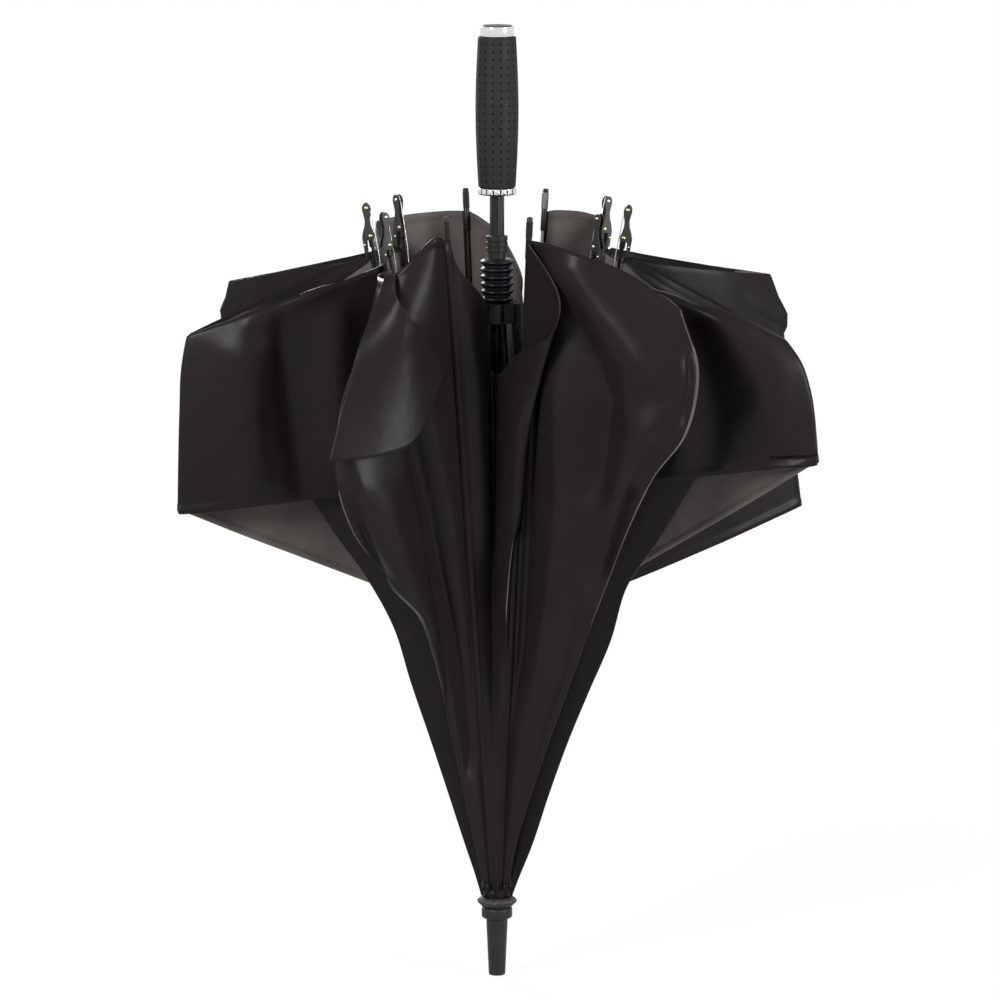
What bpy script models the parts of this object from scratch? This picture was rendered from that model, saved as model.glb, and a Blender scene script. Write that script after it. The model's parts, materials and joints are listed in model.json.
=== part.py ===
"""A stick umbrella for two people, closed but not rolled up, handle up and ferrule down.

Metres, +Z up. The origin is the middle of the handle's flat end, the shaft runs down along -Z,
+X is to the right and -Y towards the viewer. Ten ribs hinge on the crown near the lower end,
ten stretchers run from them to the sliding runner, and six of the ribs, three on each side,
carry a lever with a folded-back extension arm that widens the canopy sideways.
"""

import math

import bmesh
import bpy
from mathutils import Vector

# Driving dimensions
CLEARANCE = 0.0003
ARC_SIDES = 24

# Shaft and the stations along it, measured from the handle's end
SHAFT_RADIUS = 0.0072
SHAFT_WALL = 0.0008
SHAFT_BOTTOM = -0.9300
FERRULE_DROP = 0.0267
FERRULE_BOTTOM = SHAFT_BOTTOM - FERRULE_DROP

# Handle
HANDLE_TOP_RADIUS = 0.01885
HANDLE_BELLY_RADIUS = 0.02125
HANDLE_BOTTOM_RADIUS = 0.01850
GRIP_TOP = -0.0106
GRIP_BOTTOM = -0.1596
GRIP_EDGE = 0.0016
GRIP_STATIONS = 9
END_RING_RADIUS = 0.0169
END_RING_WALL = 0.0012
END_CAP_RIM = 0.0008
SHAFT_RING_RADIUS = 0.0187
SHAFT_RING_HEIGHT = 0.0069

# Runner
RUNNER_TOP = -0.2072
RUNNER_BORE_CLEARANCE = 0.0004
SLEEVE_WALL = 0.0010
COLLAR_RADIUS = 0.0106
COLLAR_HEIGHT = 0.0169
COLLAR_RINGS = 3
COLLAR_GROOVE = 0.0009
NECK_LENGTH = 0.0059
BELLOWS_TOP = RUNNER_TOP - COLLAR_HEIGHT - NECK_LENGTH
BELLOWS_LENGTH = 0.0439
BELLOWS_BOTTOM = BELLOWS_TOP - BELLOWS_LENGTH
BELLOWS_RADIUS = 0.0165
BELLOWS_ROOT_RADIUS = 0.0140
BELLOWS_FINS = 6
SPIDER_RADIUS = 0.0232
SPIDER_LENGTH = 0.0191
SPIDER_BOTTOM = BELLOWS_BOTTOM - SPIDER_LENGTH
SPIDER_SLOT_FLOOR = 0.0166
RUNNER_PIVOT_DROP = 0.0099
RUNNER_PIVOT_Z = BELLOWS_BOTTOM - RUNNER_PIVOT_DROP
RUNNER_PIVOT_RADIUS = 0.0195

# Crown, with the height of the ribs' pivots over the shaft's lower end
CROWN_LIFT = 0.0670
CROWN_Z = SHAFT_BOTTOM + CROWN_LIFT
CROWN_PIVOT_RADIUS = 0.0110
CROWN_RADIUS = 0.0142
CROWN_RISE = 0.0045
CROWN_DROP = 0.0118
CROWN_TOP = CROWN_Z + CROWN_RISE
CROWN_BOTTOM = CROWN_Z - CROWN_DROP
CROWN_SLOT_FLOOR = 0.0083
CROWN_SLOT_DEPTH = 0.0034
SLOT_WIDTH = 0.0028

# Rosette and ferrule
ROSETTE_HEIGHT = 0.0114
ROSETTE_TOP = CROWN_BOTTOM - CLEARANCE
ROSETTE_BOTTOM = ROSETTE_TOP - ROSETTE_HEIGHT
ROSETTE_RADIUS = 0.0190
ROSETTE_RUFFLE = 0.0013
ROSETTE_WAVES = 11
FERRULE_COLLAR_RADIUS = 0.0155
FERRULE_COLLAR_TOP_RADIUS = 0.0146
FERRULE_COLLAR_HEIGHT = 0.0110
FERRULE_COLLAR_BOTTOM = ROSETTE_BOTTOM - CLEARANCE - FERRULE_COLLAR_HEIGHT
FERRULE_CHAMFER = 0.0022
TIP_TOP_RADIUS = 0.0109
TIP_BOTTOM_RADIUS = 0.0084
TIP_EDGE = 0.0009

# Ribs
RIB_COUNT = 10
RIB_PHASE = -4.0
RIB_SPREAD = 9.9
LEVER_RIBS = (0, 1, 4, 5, 6, 9)
RIB_RADIUS = 0.0017
RIB_LENGTH = 0.6960
RIB_SIDES = 8
EYE_THICKNESS = 0.0022
EYE_RADIUS = 0.0024
EYE_LENGTH = 0.0070
RIB_CAP_RADIUS = 0.0034
RIB_CAP_LENGTH = 0.0180
LEVER_PIVOT_INSET = 0.0320
LEVER_PIVOT_LENGTH = RIB_LENGTH - LEVER_PIVOT_INSET
LEVER_BLOCK_DEPTH = 0.0032
LEVER_BLOCK_LENGTH = 0.0120

# Stretchers
STRETCHER_JOINT = 0.2910
STRETCHER_JOINT_DROP = 0.0052
STRETCHER_RADIUS = 0.0015
LUG_THICKNESS = 0.0014
LUG_LENGTH = 0.0080
LUG_END = 0.0022
FORK_WIDTH = 0.0046
FORK_LENGTH = 0.0110
STRETCHER_EYE_LENGTH = 0.0125

# Extension arms
LEVER_PLATE = 0.0012
LEVER_GAP = 0.0044
LEVER_HEIGHT = 0.0280
LEVER_REACH = 0.0085
LEVER_BAR_INNER_SHARE = 0.62
ARM_RADIUS = 0.0014
ARM_LENGTH = 0.3720
ARM_TIP_RADIUS = 0.0022
ARM_TIP_LENGTH = 0.0120
ARM_SOCKET_LENGTH = 0.0162
ARM_SOCKET_DROP = 0.0084
ARM_SOCKET_RADIUS = 0.0015
RIVET_RADIUS = 0.0019
RIVET_HEAD = 0.0008

# Side of a lever plate towards the shaft and away from it: shares of the end block's depth or of
# the lever's reach, and of the lever's height, from its pivot
LEVER_INNER_SHARES = ((-1.0, -0.14), (-1.2, 0.07), (-0.5, 0.43), (-1.4, 0.86), (-1.0, 1.10), (0.3, 1.18))
LEVER_OUTER_SHARES = (
    (0.6, 1.11), (0.88, 0.93), (1.0, 0.36), (1.0, -0.60), (LEVER_BAR_INNER_SHARE, -0.60), (0.50, -0.14),
)

# Canopy cloth, as thin closed sheets
CLOTH_THICKNESS = 0.0008
FOLD_GAP = 0.0014
SEAM_GAP = 0.0027
ARM_SEAM_GAP = 0.0046
SEAM_LIFT = 0.0030
ARM_SEAM_LIFT = 0.0130
CLOTH_BASE = -0.0116
CLOTH_BASE_RADIUS = 0.0149
CLOTH_ROWS = 11
CLOTH_COLUMNS = 4
FLAP_ROWS = 6
LEVER_SEAM_INSET = 0.0240
PLAIN_SEAM_INSET = 0.0200
LEVER_SEAM_END = LEVER_PIVOT_LENGTH - LEVER_SEAM_INSET
PLAIN_SEAM_END = RIB_LENGTH - PLAIN_SEAM_INSET
SEAM_START = 0.0210
FRONT_SAIL_HEM_END = 0.4200

# Fold lines of the ten gores: radius share, height share (of RIB_LENGTH), and azimuth in degrees.
# A fold starts at the crown and ends at the hem or at the crease of the folded-back layer.
LOWER_FOLD_SHARES = ((0.049, 0.065), (0.090, 0.192), (0.132, 0.317), (0.165, 0.417))
SAIL_FOLD_SHARES = LOWER_FOLD_SHARES + ((0.216, 0.489), (0.287, 0.603), (0.366, 0.718), (0.428, 0.800))
RIGHT_SAIL_FOLD_SHARES = (
    (0.049, 0.046), (0.096, 0.182), (0.139, 0.287), (0.174, 0.368), (0.198, 0.447),
    (0.240, 0.510), (0.300, 0.610), (0.366, 0.718), (0.418, 0.800),
)
BACK_ARCH_FOLD_SHARES = LOWER_FOLD_SHARES + ((0.205, 0.570), (0.225, 0.750), (0.215, 0.950))
FRONT_FLAP_FOLD_SHARES = (
    (0.049, 0.065), (0.091, 0.202), (0.128, 0.321), (0.158, 0.407), (0.212, 0.453),
    (0.270, 0.520), (0.320, 0.586), (0.345, 0.700), (0.300, 0.800), (0.245, 0.900),
)
FRONT_RIGHT_FOLD_SHARES = (
    (0.056, 0.090), (0.107, 0.189), (0.150, 0.278), (0.190, 0.360), (0.230, 0.450), (0.266, 0.530),
    (0.304, 0.610), (0.348, 0.670), (0.376, 0.730), (0.376, 0.790), (0.352, 0.850),
)
FRONT_VALLEY_SHARES = ((0.040, 0.120), (0.056, 0.280), (0.064, 0.440), (0.064, 0.600), (0.058, 0.750))
BACK_VALLEY_SHARES = ((0.042, 0.140), (0.062, 0.340), (0.072, 0.560), (0.074, 0.740), (0.072, 0.860))

# Folded-back layers: outer edge from its crease to its hem
LEFT_SAIL_EDGE_SHARES = ((0.448, 0.812), (0.455, 0.790), (0.460, 0.680), (0.462, 0.562))
LEFT_BACK_SAIL_EDGE_SHARES = ((0.417, 0.857), (0.424, 0.820), (0.432, 0.700), (0.436, 0.580))
RIGHT_SAIL_EDGE_SHARES = ((0.436, 0.810), (0.458, 0.780), (0.474, 0.725), (0.481, 0.642))
RIGHT_BACK_SAIL_EDGE_SHARES = ((0.404, 0.874), (0.420, 0.830), (0.430, 0.720), (0.436, 0.600))
FRONT_FLAP_EDGE_SHARES = ((0.244, 0.910), (0.275, 0.856), (0.305, 0.812), (0.345, 0.720), (0.368, 0.662))
FRONT_FLAP_INNER_SHARES = ((0.226, 0.909), (0.231, 0.857), (0.195, 0.812), (0.175, 0.772))
FRONT_FLAP_INNER_AZIMUTHS = (236.0, 240.0, 243.0, 244.0)

MATERIALS = {
    "grip": ((0.040, 0.040, 0.042), 0.62, 0.0),
    "black_metal": ((0.012, 0.012, 0.013), 0.22, 0.6),
    "chrome": ((0.62, 0.62, 0.63), 0.12, 1.0),
    "steel": ((0.45, 0.45, 0.44), 0.28, 1.0),
    "black_plastic": ((0.016, 0.016, 0.017), 0.38, 0.0),
    "cloth": ((0.040, 0.034, 0.032), 0.55, 0.0),
}


def clear_scene():
    for thing in list(bpy.data.objects):
        bpy.data.objects.remove(thing, do_unlink=True)


def make_material(slot, name):
    colour, roughness, metallic = MATERIALS[slot]
    material = bpy.data.materials.new(name)
    material.use_nodes = True
    shader = material.node_tree.nodes["Principled BSDF"]
    shader.inputs["Base Color"].default_value = (*colour, 1.0)
    shader.inputs["Roughness"].default_value = roughness
    shader.inputs["Metallic"].default_value = metallic
    return material


def add_object(name, vertices, faces, slot, origin=Vector((0, 0, 0)), smooth_angle=35.0):
    """A closed mesh from world points, with its origin at the given world point."""
    mesh = bpy.data.meshes.new(name)
    mesh.from_pydata([Vector(v) - origin for v in vertices], [], faces)
    work = bmesh.new()
    work.from_mesh(mesh)
    bmesh.ops.recalc_face_normals(work, faces=work.faces)
    if work.calc_volume(signed=True) < 0:
        bmesh.ops.reverse_faces(work, faces=work.faces)
    work.to_mesh(mesh)
    work.free()
    mesh.shade_smooth()
    mesh.set_sharp_from_angle(angle=math.radians(smooth_angle))
    mesh.materials.append(make_material(slot, name))
    result = bpy.data.objects.new(name, mesh)
    result.location = origin
    bpy.context.collection.objects.link(result)
    return result


def lathe(name, profile, slot, sides=ARC_SIDES, wave=None):
    """Turns a closed outline of (radius, z) points round the shaft's axis."""
    vertices, faces = [], []
    count = len(profile)
    for side in range(sides):
        angle = 2 * math.pi * side / sides
        for radius, height in profile:
            shift = wave(angle, radius) if wave else 0
            reach = radius + shift
            vertices.append((reach * math.cos(angle), reach * math.sin(angle), height))
    for side in range(sides):
        after = (side + 1) % sides
        for k in range(count):
            following = (k + 1) % count
            faces.append((
                side * count + k, side * count + following,
                after * count + following, after * count + k,
            ))
    return add_object(name, vertices, faces, slot)


def solid_lathe(name, profile, slot, sides=ARC_SIDES):
    """Turns an outline of (radius, z) points whose first and last point lie on the axis."""
    top, body, bottom = profile[0], profile[1:-1], profile[-1]
    vertices, faces = [], []
    count = len(body)
    for side in range(sides):
        angle = 2 * math.pi * side / sides
        for radius, height in body:
            vertices.append((radius * math.cos(angle), radius * math.sin(angle), height))
    first = len(vertices)
    vertices.append((0, 0, top[1]))
    vertices.append((0, 0, bottom[1]))
    for side in range(sides):
        after = (side + 1) % sides
        faces.append((first, side * count, after * count))
        faces.append((first + 1, after * count + count - 1, side * count + count - 1))
        for k in range(count - 1):
            faces.append((
                side * count + k, side * count + k + 1,
                after * count + k + 1, after * count + k,
            ))
    return add_object(name, vertices, faces, slot)


def polar(radius, azimuth, height):
    """World point at a radius and azimuth (degrees), height measured from the crown's pivots."""
    angle = math.radians(azimuth)
    return Vector((radius * math.cos(angle), radius * math.sin(angle), CROWN_Z + height))


def rib_azimuth(index):
    return RIB_PHASE + index * 360.0 / RIB_COUNT


def rib_frame(index):
    """Pivot, direction along the rib, sideways direction and outward normal of one rib."""
    azimuth = rib_azimuth(index)
    lean = math.radians(RIB_SPREAD)
    radial = Vector((math.cos(math.radians(azimuth)), math.sin(math.radians(azimuth)), 0))
    sideways = Vector((-radial.y, radial.x, 0))
    along = radial * math.sin(lean) + Vector((0, 0, math.cos(lean)))
    outward = radial * math.cos(lean) - Vector((0, 0, math.sin(lean)))
    return polar(CROWN_PIVOT_RADIUS, azimuth, 0), along, sideways, outward


def section_points(centre, across, deep, half_width, half_depth, sides):
    """One rounded section of a rod: half_width along across, half_depth along deep."""
    points = []
    for side in range(sides):
        angle = 2 * math.pi * (side + 0.5) / sides
        points.append(
            centre + across * (half_width * math.cos(angle)) + deep * (half_depth * math.sin(angle))
        )
    return points


def loft(sections):
    """Vertices and faces of a rod through sections that have the same number of points."""
    vertices = [p for section in sections for p in section]
    count = len(sections[0])
    faces = [tuple(range(count))]
    for ring in range(len(sections) - 1):
        for side in range(count):
            after = (side + 1) % count
            faces.append((
                ring * count + side, ring * count + after,
                (ring + 1) * count + after, (ring + 1) * count + side,
            ))
    last = (len(sections) - 1) * count
    faces.append(tuple(last + side for side in reversed(range(count))))
    return vertices, faces


def rod(start, along, across, deep, stations, sides=RIB_SIDES):
    """A straight rod: stations are (distance, half width, half depth) from start along its length."""
    sections = [
        section_points(start + along * distance, across, deep, width, depth, sides)
        for distance, width, depth in stations
    ]
    return loft(sections)


def box(centre, axes, halves):
    """Vertices and faces of a box with its own axes."""
    vertices = []
    for i in (-1, 1):
        for j in (-1, 1):
            for k in (-1, 1):
                vertices.append(
                    centre + axes[0] * (i * halves[0]) + axes[1] * (j * halves[1]) + axes[2] * (k * halves[2])
                )
    faces = [(0, 1, 3, 2), (4, 6, 7, 5), (0, 4, 5, 1), (2, 3, 7, 6), (0, 2, 6, 4), (1, 5, 7, 3)]
    return vertices, faces


def merged(*shapes):
    """Several closed shapes as one list of vertices and faces."""
    vertices, faces = [], []
    for points, polygons in shapes:
        base = len(vertices)
        vertices.extend(points)
        faces.extend(tuple(base + k for k in polygon) for polygon in polygons)
    return vertices, faces


def boolean(target, other, operation):
    modifier = target.modifiers.new(operation.lower(), "BOOLEAN")
    modifier.operation = operation
    modifier.object = other
    other.hide_render = True
    other.display_type = "WIRE"


def radial_slots(name, floor, reach, bottom, top, width):
    """Ten boxes that cut the slots for the ribs or stretchers, open on the outer side."""
    shapes = []
    for index in range(RIB_COUNT):
        angle = math.radians(rib_azimuth(index))
        radial = Vector((math.cos(angle), math.sin(angle), 0))
        sideways = Vector((-radial.y, radial.x, 0))
        centre = radial * ((floor + reach) / 2) + Vector((0, 0, (bottom + top) / 2))
        halves = ((reach - floor) / 2, width / 2, (top - bottom) / 2)
        shapes.append(box(centre, (radial, sideways, Vector((0, 0, 1))), halves))
    vertices, faces = merged(*shapes)
    return add_object(name, vertices, faces, "black_plastic")


def build_shaft():
    inner = SHAFT_RADIUS - SHAFT_WALL
    lathe("shaft_tube", [
        (SHAFT_RADIUS, GRIP_TOP), (SHAFT_RADIUS, SHAFT_BOTTOM),
        (inner, SHAFT_BOTTOM), (inner, GRIP_TOP),
    ], "black_metal")


def build_handle():
    bore = SHAFT_RADIUS + CLEARANCE
    outer = []
    for k in range(GRIP_STATIONS):
        share = k / (GRIP_STATIONS - 1)
        ends = HANDLE_TOP_RADIUS * (1 - share) + HANDLE_BOTTOM_RADIUS * share
        belly = HANDLE_BELLY_RADIUS - (HANDLE_TOP_RADIUS + HANDLE_BOTTOM_RADIUS) / 2
        height = GRIP_TOP - GRIP_EDGE + (GRIP_BOTTOM - GRIP_TOP + 2 * GRIP_EDGE) * share
        outer.append((ends + belly * math.sin(math.pi * share), height))
    top = GRIP_TOP - CLEARANCE
    lathe("handle_grip", [
        (bore, top), (HANDLE_TOP_RADIUS - GRIP_EDGE, top), *outer,
        (HANDLE_BOTTOM_RADIUS - GRIP_EDGE, GRIP_BOTTOM), (bore, GRIP_BOTTOM),
    ], "grip")
    cap_radius = END_RING_RADIUS - END_RING_WALL - CLEARANCE
    solid_lathe("handle_end_cap", [
        (0, 0), (cap_radius - END_CAP_RIM, 0), (cap_radius, -END_CAP_RIM),
        (cap_radius, GRIP_TOP + CLEARANCE), (0, GRIP_TOP + CLEARANCE),
    ], "black_plastic")
    inner = END_RING_RADIUS - END_RING_WALL
    lathe("handle_end_ring", [
        (inner, -END_CAP_RIM), (END_RING_RADIUS - END_CAP_RIM, -END_CAP_RIM),
        (END_RING_RADIUS, -2 * END_CAP_RIM), (END_RING_RADIUS, GRIP_TOP), (inner, GRIP_TOP),
    ], "chrome")
    ring_top = GRIP_BOTTOM - CLEARANCE
    ring_bottom = ring_top - SHAFT_RING_HEIGHT
    lathe("handle_lower_ring", [
        (bore, ring_top), (SHAFT_RING_RADIUS - END_CAP_RIM, ring_top),
        (SHAFT_RING_RADIUS, ring_top - END_CAP_RIM), (SHAFT_RING_RADIUS, ring_bottom + END_CAP_RIM),
        (SHAFT_RING_RADIUS - END_CAP_RIM, ring_bottom), (bore, ring_bottom),
    ], "chrome")


def build_runner():
    bore = SHAFT_RADIUS + RUNNER_BORE_CLEARANCE
    sleeve = bore + SLEEVE_WALL
    outline = [(bore, RUNNER_TOP)]
    pitch = COLLAR_HEIGHT / COLLAR_RINGS
    for ring in range(COLLAR_RINGS):
        top = RUNNER_TOP - ring * pitch
        outline += [
            (COLLAR_RADIUS - COLLAR_GROOVE, top), (COLLAR_RADIUS, top - COLLAR_GROOVE),
            (COLLAR_RADIUS, top - pitch + COLLAR_GROOVE), (COLLAR_RADIUS - COLLAR_GROOVE, top - pitch),
        ]
    collar_bottom = RUNNER_TOP - COLLAR_HEIGHT
    outline = [p for k, p in enumerate(outline) if k == 0 or p != outline[k - 1]]
    outline += [(sleeve, collar_bottom), (sleeve, SPIDER_BOTTOM), (bore, SPIDER_BOTTOM)]
    lathe("runner_sleeve", outline, "black_plastic")

    grip_bore = sleeve + CLEARANCE
    fins = [(grip_bore, BELLOWS_TOP)]
    pitch = (BELLOWS_TOP - BELLOWS_BOTTOM) / BELLOWS_FINS
    for fin in range(BELLOWS_FINS):
        top = BELLOWS_TOP - fin * pitch
        fins += [
            (BELLOWS_ROOT_RADIUS, top), (BELLOWS_RADIUS, top - pitch / 4),
            (BELLOWS_RADIUS, top - pitch * 3 / 4),
        ]
    fins += [(BELLOWS_ROOT_RADIUS, BELLOWS_BOTTOM), (grip_bore, BELLOWS_BOTTOM)]
    lathe("runner_grip", fins, "black_plastic")

    spider_top = BELLOWS_BOTTOM - CLEARANCE
    spider = lathe("runner_spider", [
        (grip_bore, spider_top), (SPIDER_RADIUS, spider_top),
        (SPIDER_RADIUS, SPIDER_BOTTOM), (grip_bore, SPIDER_BOTTOM),
    ], "black_plastic", sides=2 * ARC_SIDES)
    slots = radial_slots(
        "spider_slots", SPIDER_SLOT_FLOOR, 2 * SPIDER_RADIUS,
        2 * SPIDER_BOTTOM - spider_top, 2 * spider_top - SPIDER_BOTTOM, SLOT_WIDTH,
    )
    boolean(spider, slots, "DIFFERENCE")


def build_crown():
    bore = SHAFT_RADIUS + CLEARANCE
    hub = lathe("crown_hub", [
        (bore, CROWN_TOP), (CROWN_RADIUS, CROWN_TOP), (CROWN_RADIUS, CROWN_BOTTOM), (bore, CROWN_BOTTOM),
    ], "black_plastic", sides=2 * ARC_SIDES)
    slots = radial_slots(
        "crown_slots", CROWN_SLOT_FLOOR, 2 * CROWN_RADIUS,
        CROWN_Z - CROWN_SLOT_DEPTH, 2 * CROWN_TOP - CROWN_Z + CROWN_SLOT_DEPTH, SLOT_WIDTH,
    )
    boolean(hub, slots, "DIFFERENCE")


def build_ferrule():
    bore = SHAFT_RADIUS + CLEARANCE

    def ruffle(angle, radius):
        share = max(0, (radius - CROWN_RADIUS) / (ROSETTE_RADIUS - CROWN_RADIUS))
        return ROSETTE_RUFFLE * share * math.sin(ROSETTE_WAVES * angle)

    waist = (ROSETTE_TOP + ROSETTE_BOTTOM) / 2
    lathe("canopy_rosette", [
        (bore, ROSETTE_TOP), (CROWN_RADIUS, ROSETTE_TOP), (ROSETTE_RADIUS, waist + ROSETTE_RUFFLE),
        (ROSETTE_RADIUS, waist - ROSETTE_RUFFLE), (FERRULE_COLLAR_TOP_RADIUS, ROSETTE_BOTTOM),
        (bore, ROSETTE_BOTTOM),
    ], "cloth", sides=4 * ROSETTE_WAVES, wave=ruffle)
    top = ROSETTE_BOTTOM - CLEARANCE
    lathe("ferrule_collar", [
        (bore, top), (FERRULE_COLLAR_TOP_RADIUS, top), (FERRULE_COLLAR_RADIUS, top - FERRULE_CHAMFER),
        (FERRULE_COLLAR_RADIUS, FERRULE_COLLAR_BOTTOM + FERRULE_CHAMFER),
        (FERRULE_COLLAR_RADIUS - FERRULE_CHAMFER, FERRULE_COLLAR_BOTTOM), (bore, FERRULE_COLLAR_BOTTOM),
    ], "black_metal")
    tip_top = FERRULE_COLLAR_BOTTOM - CLEARANCE
    blind = SHAFT_BOTTOM - CLEARANCE
    solid_lathe("ferrule_tip", [
        (0, FERRULE_BOTTOM), (TIP_BOTTOM_RADIUS - TIP_EDGE, FERRULE_BOTTOM),
        (TIP_BOTTOM_RADIUS, FERRULE_BOTTOM + TIP_EDGE), (TIP_TOP_RADIUS, tip_top), (bore, tip_top),
        (bore, blind), (0, blind),
    ], "black_metal")


def rib_joint(index):
    """Centre of the stretcher's pivot on a rib: on a lug on the rib's inner side."""
    pivot, along, _, outward = rib_frame(index)
    return pivot + along * STRETCHER_JOINT - outward * STRETCHER_JOINT_DROP


def build_rib(index):
    name = f"rib_{index + 1}"
    pivot, along, sideways, outward = rib_frame(index)
    flat, round_ = EYE_THICKNESS / 2, RIB_RADIUS
    stations = [
        (-EYE_RADIUS, flat, EYE_RADIUS / 2), (-EYE_RADIUS / 2, flat, EYE_RADIUS),
        (EYE_RADIUS, flat, EYE_RADIUS), (EYE_LENGTH, round_, round_),
    ]
    if index in LEVER_RIBS:
        block = LEVER_PIVOT_LENGTH - LEVER_BLOCK_LENGTH
        end = LEVER_PIVOT_LENGTH + LEVER_BLOCK_DEPTH
        half = (LEVER_GAP - 2 * CLEARANCE) / 2
        stations += [
            (block, round_, round_), (block + RIB_RADIUS, half, LEVER_BLOCK_DEPTH),
            (LEVER_PIVOT_LENGTH, half, LEVER_BLOCK_DEPTH), (end, half, LEVER_BLOCK_DEPTH / 2),
        ]
    else:
        cap = RIB_LENGTH - RIB_CAP_LENGTH
        stations += [
            (cap, round_, round_), (cap + CLEARANCE, RIB_CAP_RADIUS, RIB_CAP_RADIUS),
            (RIB_LENGTH - RIB_RADIUS, RIB_CAP_RADIUS, RIB_CAP_RADIUS),
            (RIB_LENGTH, RIB_CAP_RADIUS / 2, RIB_CAP_RADIUS / 2),
        ]
    vertices, faces = rod(pivot, along, sideways, outward, stations)
    result = add_object(name, vertices, faces, "black_metal", pivot)

    # The lug that carries the stretcher's fork
    reach = STRETCHER_JOINT_DROP + LUG_END
    centre = pivot + along * STRETCHER_JOINT - outward * (reach / 2)
    vertices, faces = box(centre, (sideways, along, outward), (LUG_THICKNESS / 2, LUG_LENGTH / 2, reach / 2))
    lug = add_object(f"{name}_lug", vertices, faces, "black_metal", pivot)
    boolean(result, lug, "UNION")


def build_stretcher(index):
    name = f"stretcher_{index + 1}"
    joint = rib_joint(index)
    azimuth = rib_azimuth(index)
    runner_end = Vector((
        RUNNER_PIVOT_RADIUS * math.cos(math.radians(azimuth)),
        RUNNER_PIVOT_RADIUS * math.sin(math.radians(azimuth)),
        RUNNER_PIVOT_Z,
    ))
    _, _, sideways, _ = rib_frame(index)
    along = (runner_end - joint).normalized()
    deep = sideways.cross(along)
    length = (runner_end - joint).length
    fork, thin = FORK_WIDTH / 2, EYE_THICKNESS / 2
    end = EYE_RADIUS * 3 / 4
    stations = [
        (-LUG_END / 2, fork, LUG_END / 2), (0, fork, LUG_END), (FORK_LENGTH - LUG_END, fork, LUG_END),
        (FORK_LENGTH, STRETCHER_RADIUS, STRETCHER_RADIUS),
        (length - STRETCHER_EYE_LENGTH, STRETCHER_RADIUS, STRETCHER_RADIUS),
        (length - EYE_RADIUS, thin, end), (length + end / 2, thin, end), (length + end, thin, end / 2),
    ]
    vertices, faces = rod(joint, along, sideways, deep, stations)
    result = add_object(name, vertices, faces, "black_metal", joint)
    slot_centre = joint + along * (FORK_LENGTH / 2 - LUG_END * 2)
    halves = (LUG_THICKNESS / 2 + CLEARANCE, FORK_LENGTH / 2, 2 * LUG_END)
    vertices, faces = box(slot_centre, (sideways, along, deep), halves)
    slot = add_object(f"{name}_slot", vertices, faces, "black_metal", joint)
    boolean(result, slot, "DIFFERENCE")


def lever_outline():
    """Side view of a lever plate, (outward, along) from the pivot: a hook over a straight outer bar."""
    outline = [(LEVER_BLOCK_DEPTH * across, LEVER_HEIGHT * up) for across, up in LEVER_INNER_SHARES]
    outline += [(LEVER_REACH * across, LEVER_HEIGHT * up) for across, up in LEVER_OUTER_SHARES]
    return outline


def prism(outline, origin, across, up, sideways, low, high):
    """An outline in the plane of across and up, extruded along sideways from low to high."""
    count = len(outline)
    vertices = [
        origin + across * a + up * b + sideways * offset for offset in (low, high) for a, b in outline
    ]
    faces = [tuple(range(count)), tuple(reversed(range(count, 2 * count)))]
    for k in range(count):
        after = (k + 1) % count
        faces.append((k, k + count, after + count, after))
    return vertices, faces


def lever_pivot(index):
    pivot, along, _, _ = rib_frame(index)
    return pivot + along * LEVER_PIVOT_LENGTH


def build_extension_arm(number, index):
    """Lever plates on both sides of the rib's end block, joined at the top and by the folded-back arm."""
    name = f"extension_arm_{number}"
    _, along, sideways, outward = rib_frame(index)
    origin = lever_pivot(index)
    inner, outer = LEVER_GAP / 2, LEVER_GAP / 2 + LEVER_PLATE
    outline = lever_outline()
    plates = add_object(name, *merged(
        prism(outline, origin, outward, along, sideways, -outer, -inner),
        prism(outline, origin, outward, along, sideways, inner, outer),
    ), "steel", origin)

    # The top rivet block and the arm's socket join the two plates
    overlap = LEVER_PLATE / 2
    top = origin + along * LEVER_HEIGHT
    block = rod(
        top - sideways * (outer + RIVET_HEAD), sideways, along, outward,
        [(0, RIVET_RADIUS, RIVET_RADIUS), (2 * (outer + RIVET_HEAD), RIVET_RADIUS, RIVET_RADIUS)],
    )
    bar = (1 + LEVER_BAR_INNER_SHARE) / 2 * LEVER_REACH
    socket_centre = origin + outward * bar - along * ARM_SOCKET_DROP
    socket = box(
        socket_centre, (sideways, along, outward),
        (inner + overlap, ARM_SOCKET_LENGTH / 2, ARM_RADIUS),
    )
    arm_start = socket_centre - along * (ARM_SOCKET_LENGTH / 3)
    arm = rod(arm_start, -along, sideways, outward, [
        (0, ARM_SOCKET_RADIUS, ARM_SOCKET_RADIUS),
        (ARM_SOCKET_LENGTH / 2, ARM_RADIUS, ARM_RADIUS),
        (ARM_LENGTH - ARM_TIP_LENGTH, ARM_RADIUS, ARM_RADIUS),
        (ARM_LENGTH - ARM_TIP_LENGTH + CLEARANCE, ARM_TIP_RADIUS, ARM_TIP_RADIUS),
        (ARM_LENGTH - ARM_RADIUS, ARM_TIP_RADIUS, ARM_TIP_RADIUS),
        (ARM_LENGTH, ARM_TIP_RADIUS / 2, ARM_TIP_RADIUS / 2),
    ])
    for part_name, shape in (("block", block), ("socket", socket), ("arm", arm)):
        piece = add_object(f"{name}_{part_name}", *shape, "steel", origin)
        boolean(plates, piece, "UNION")


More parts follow.
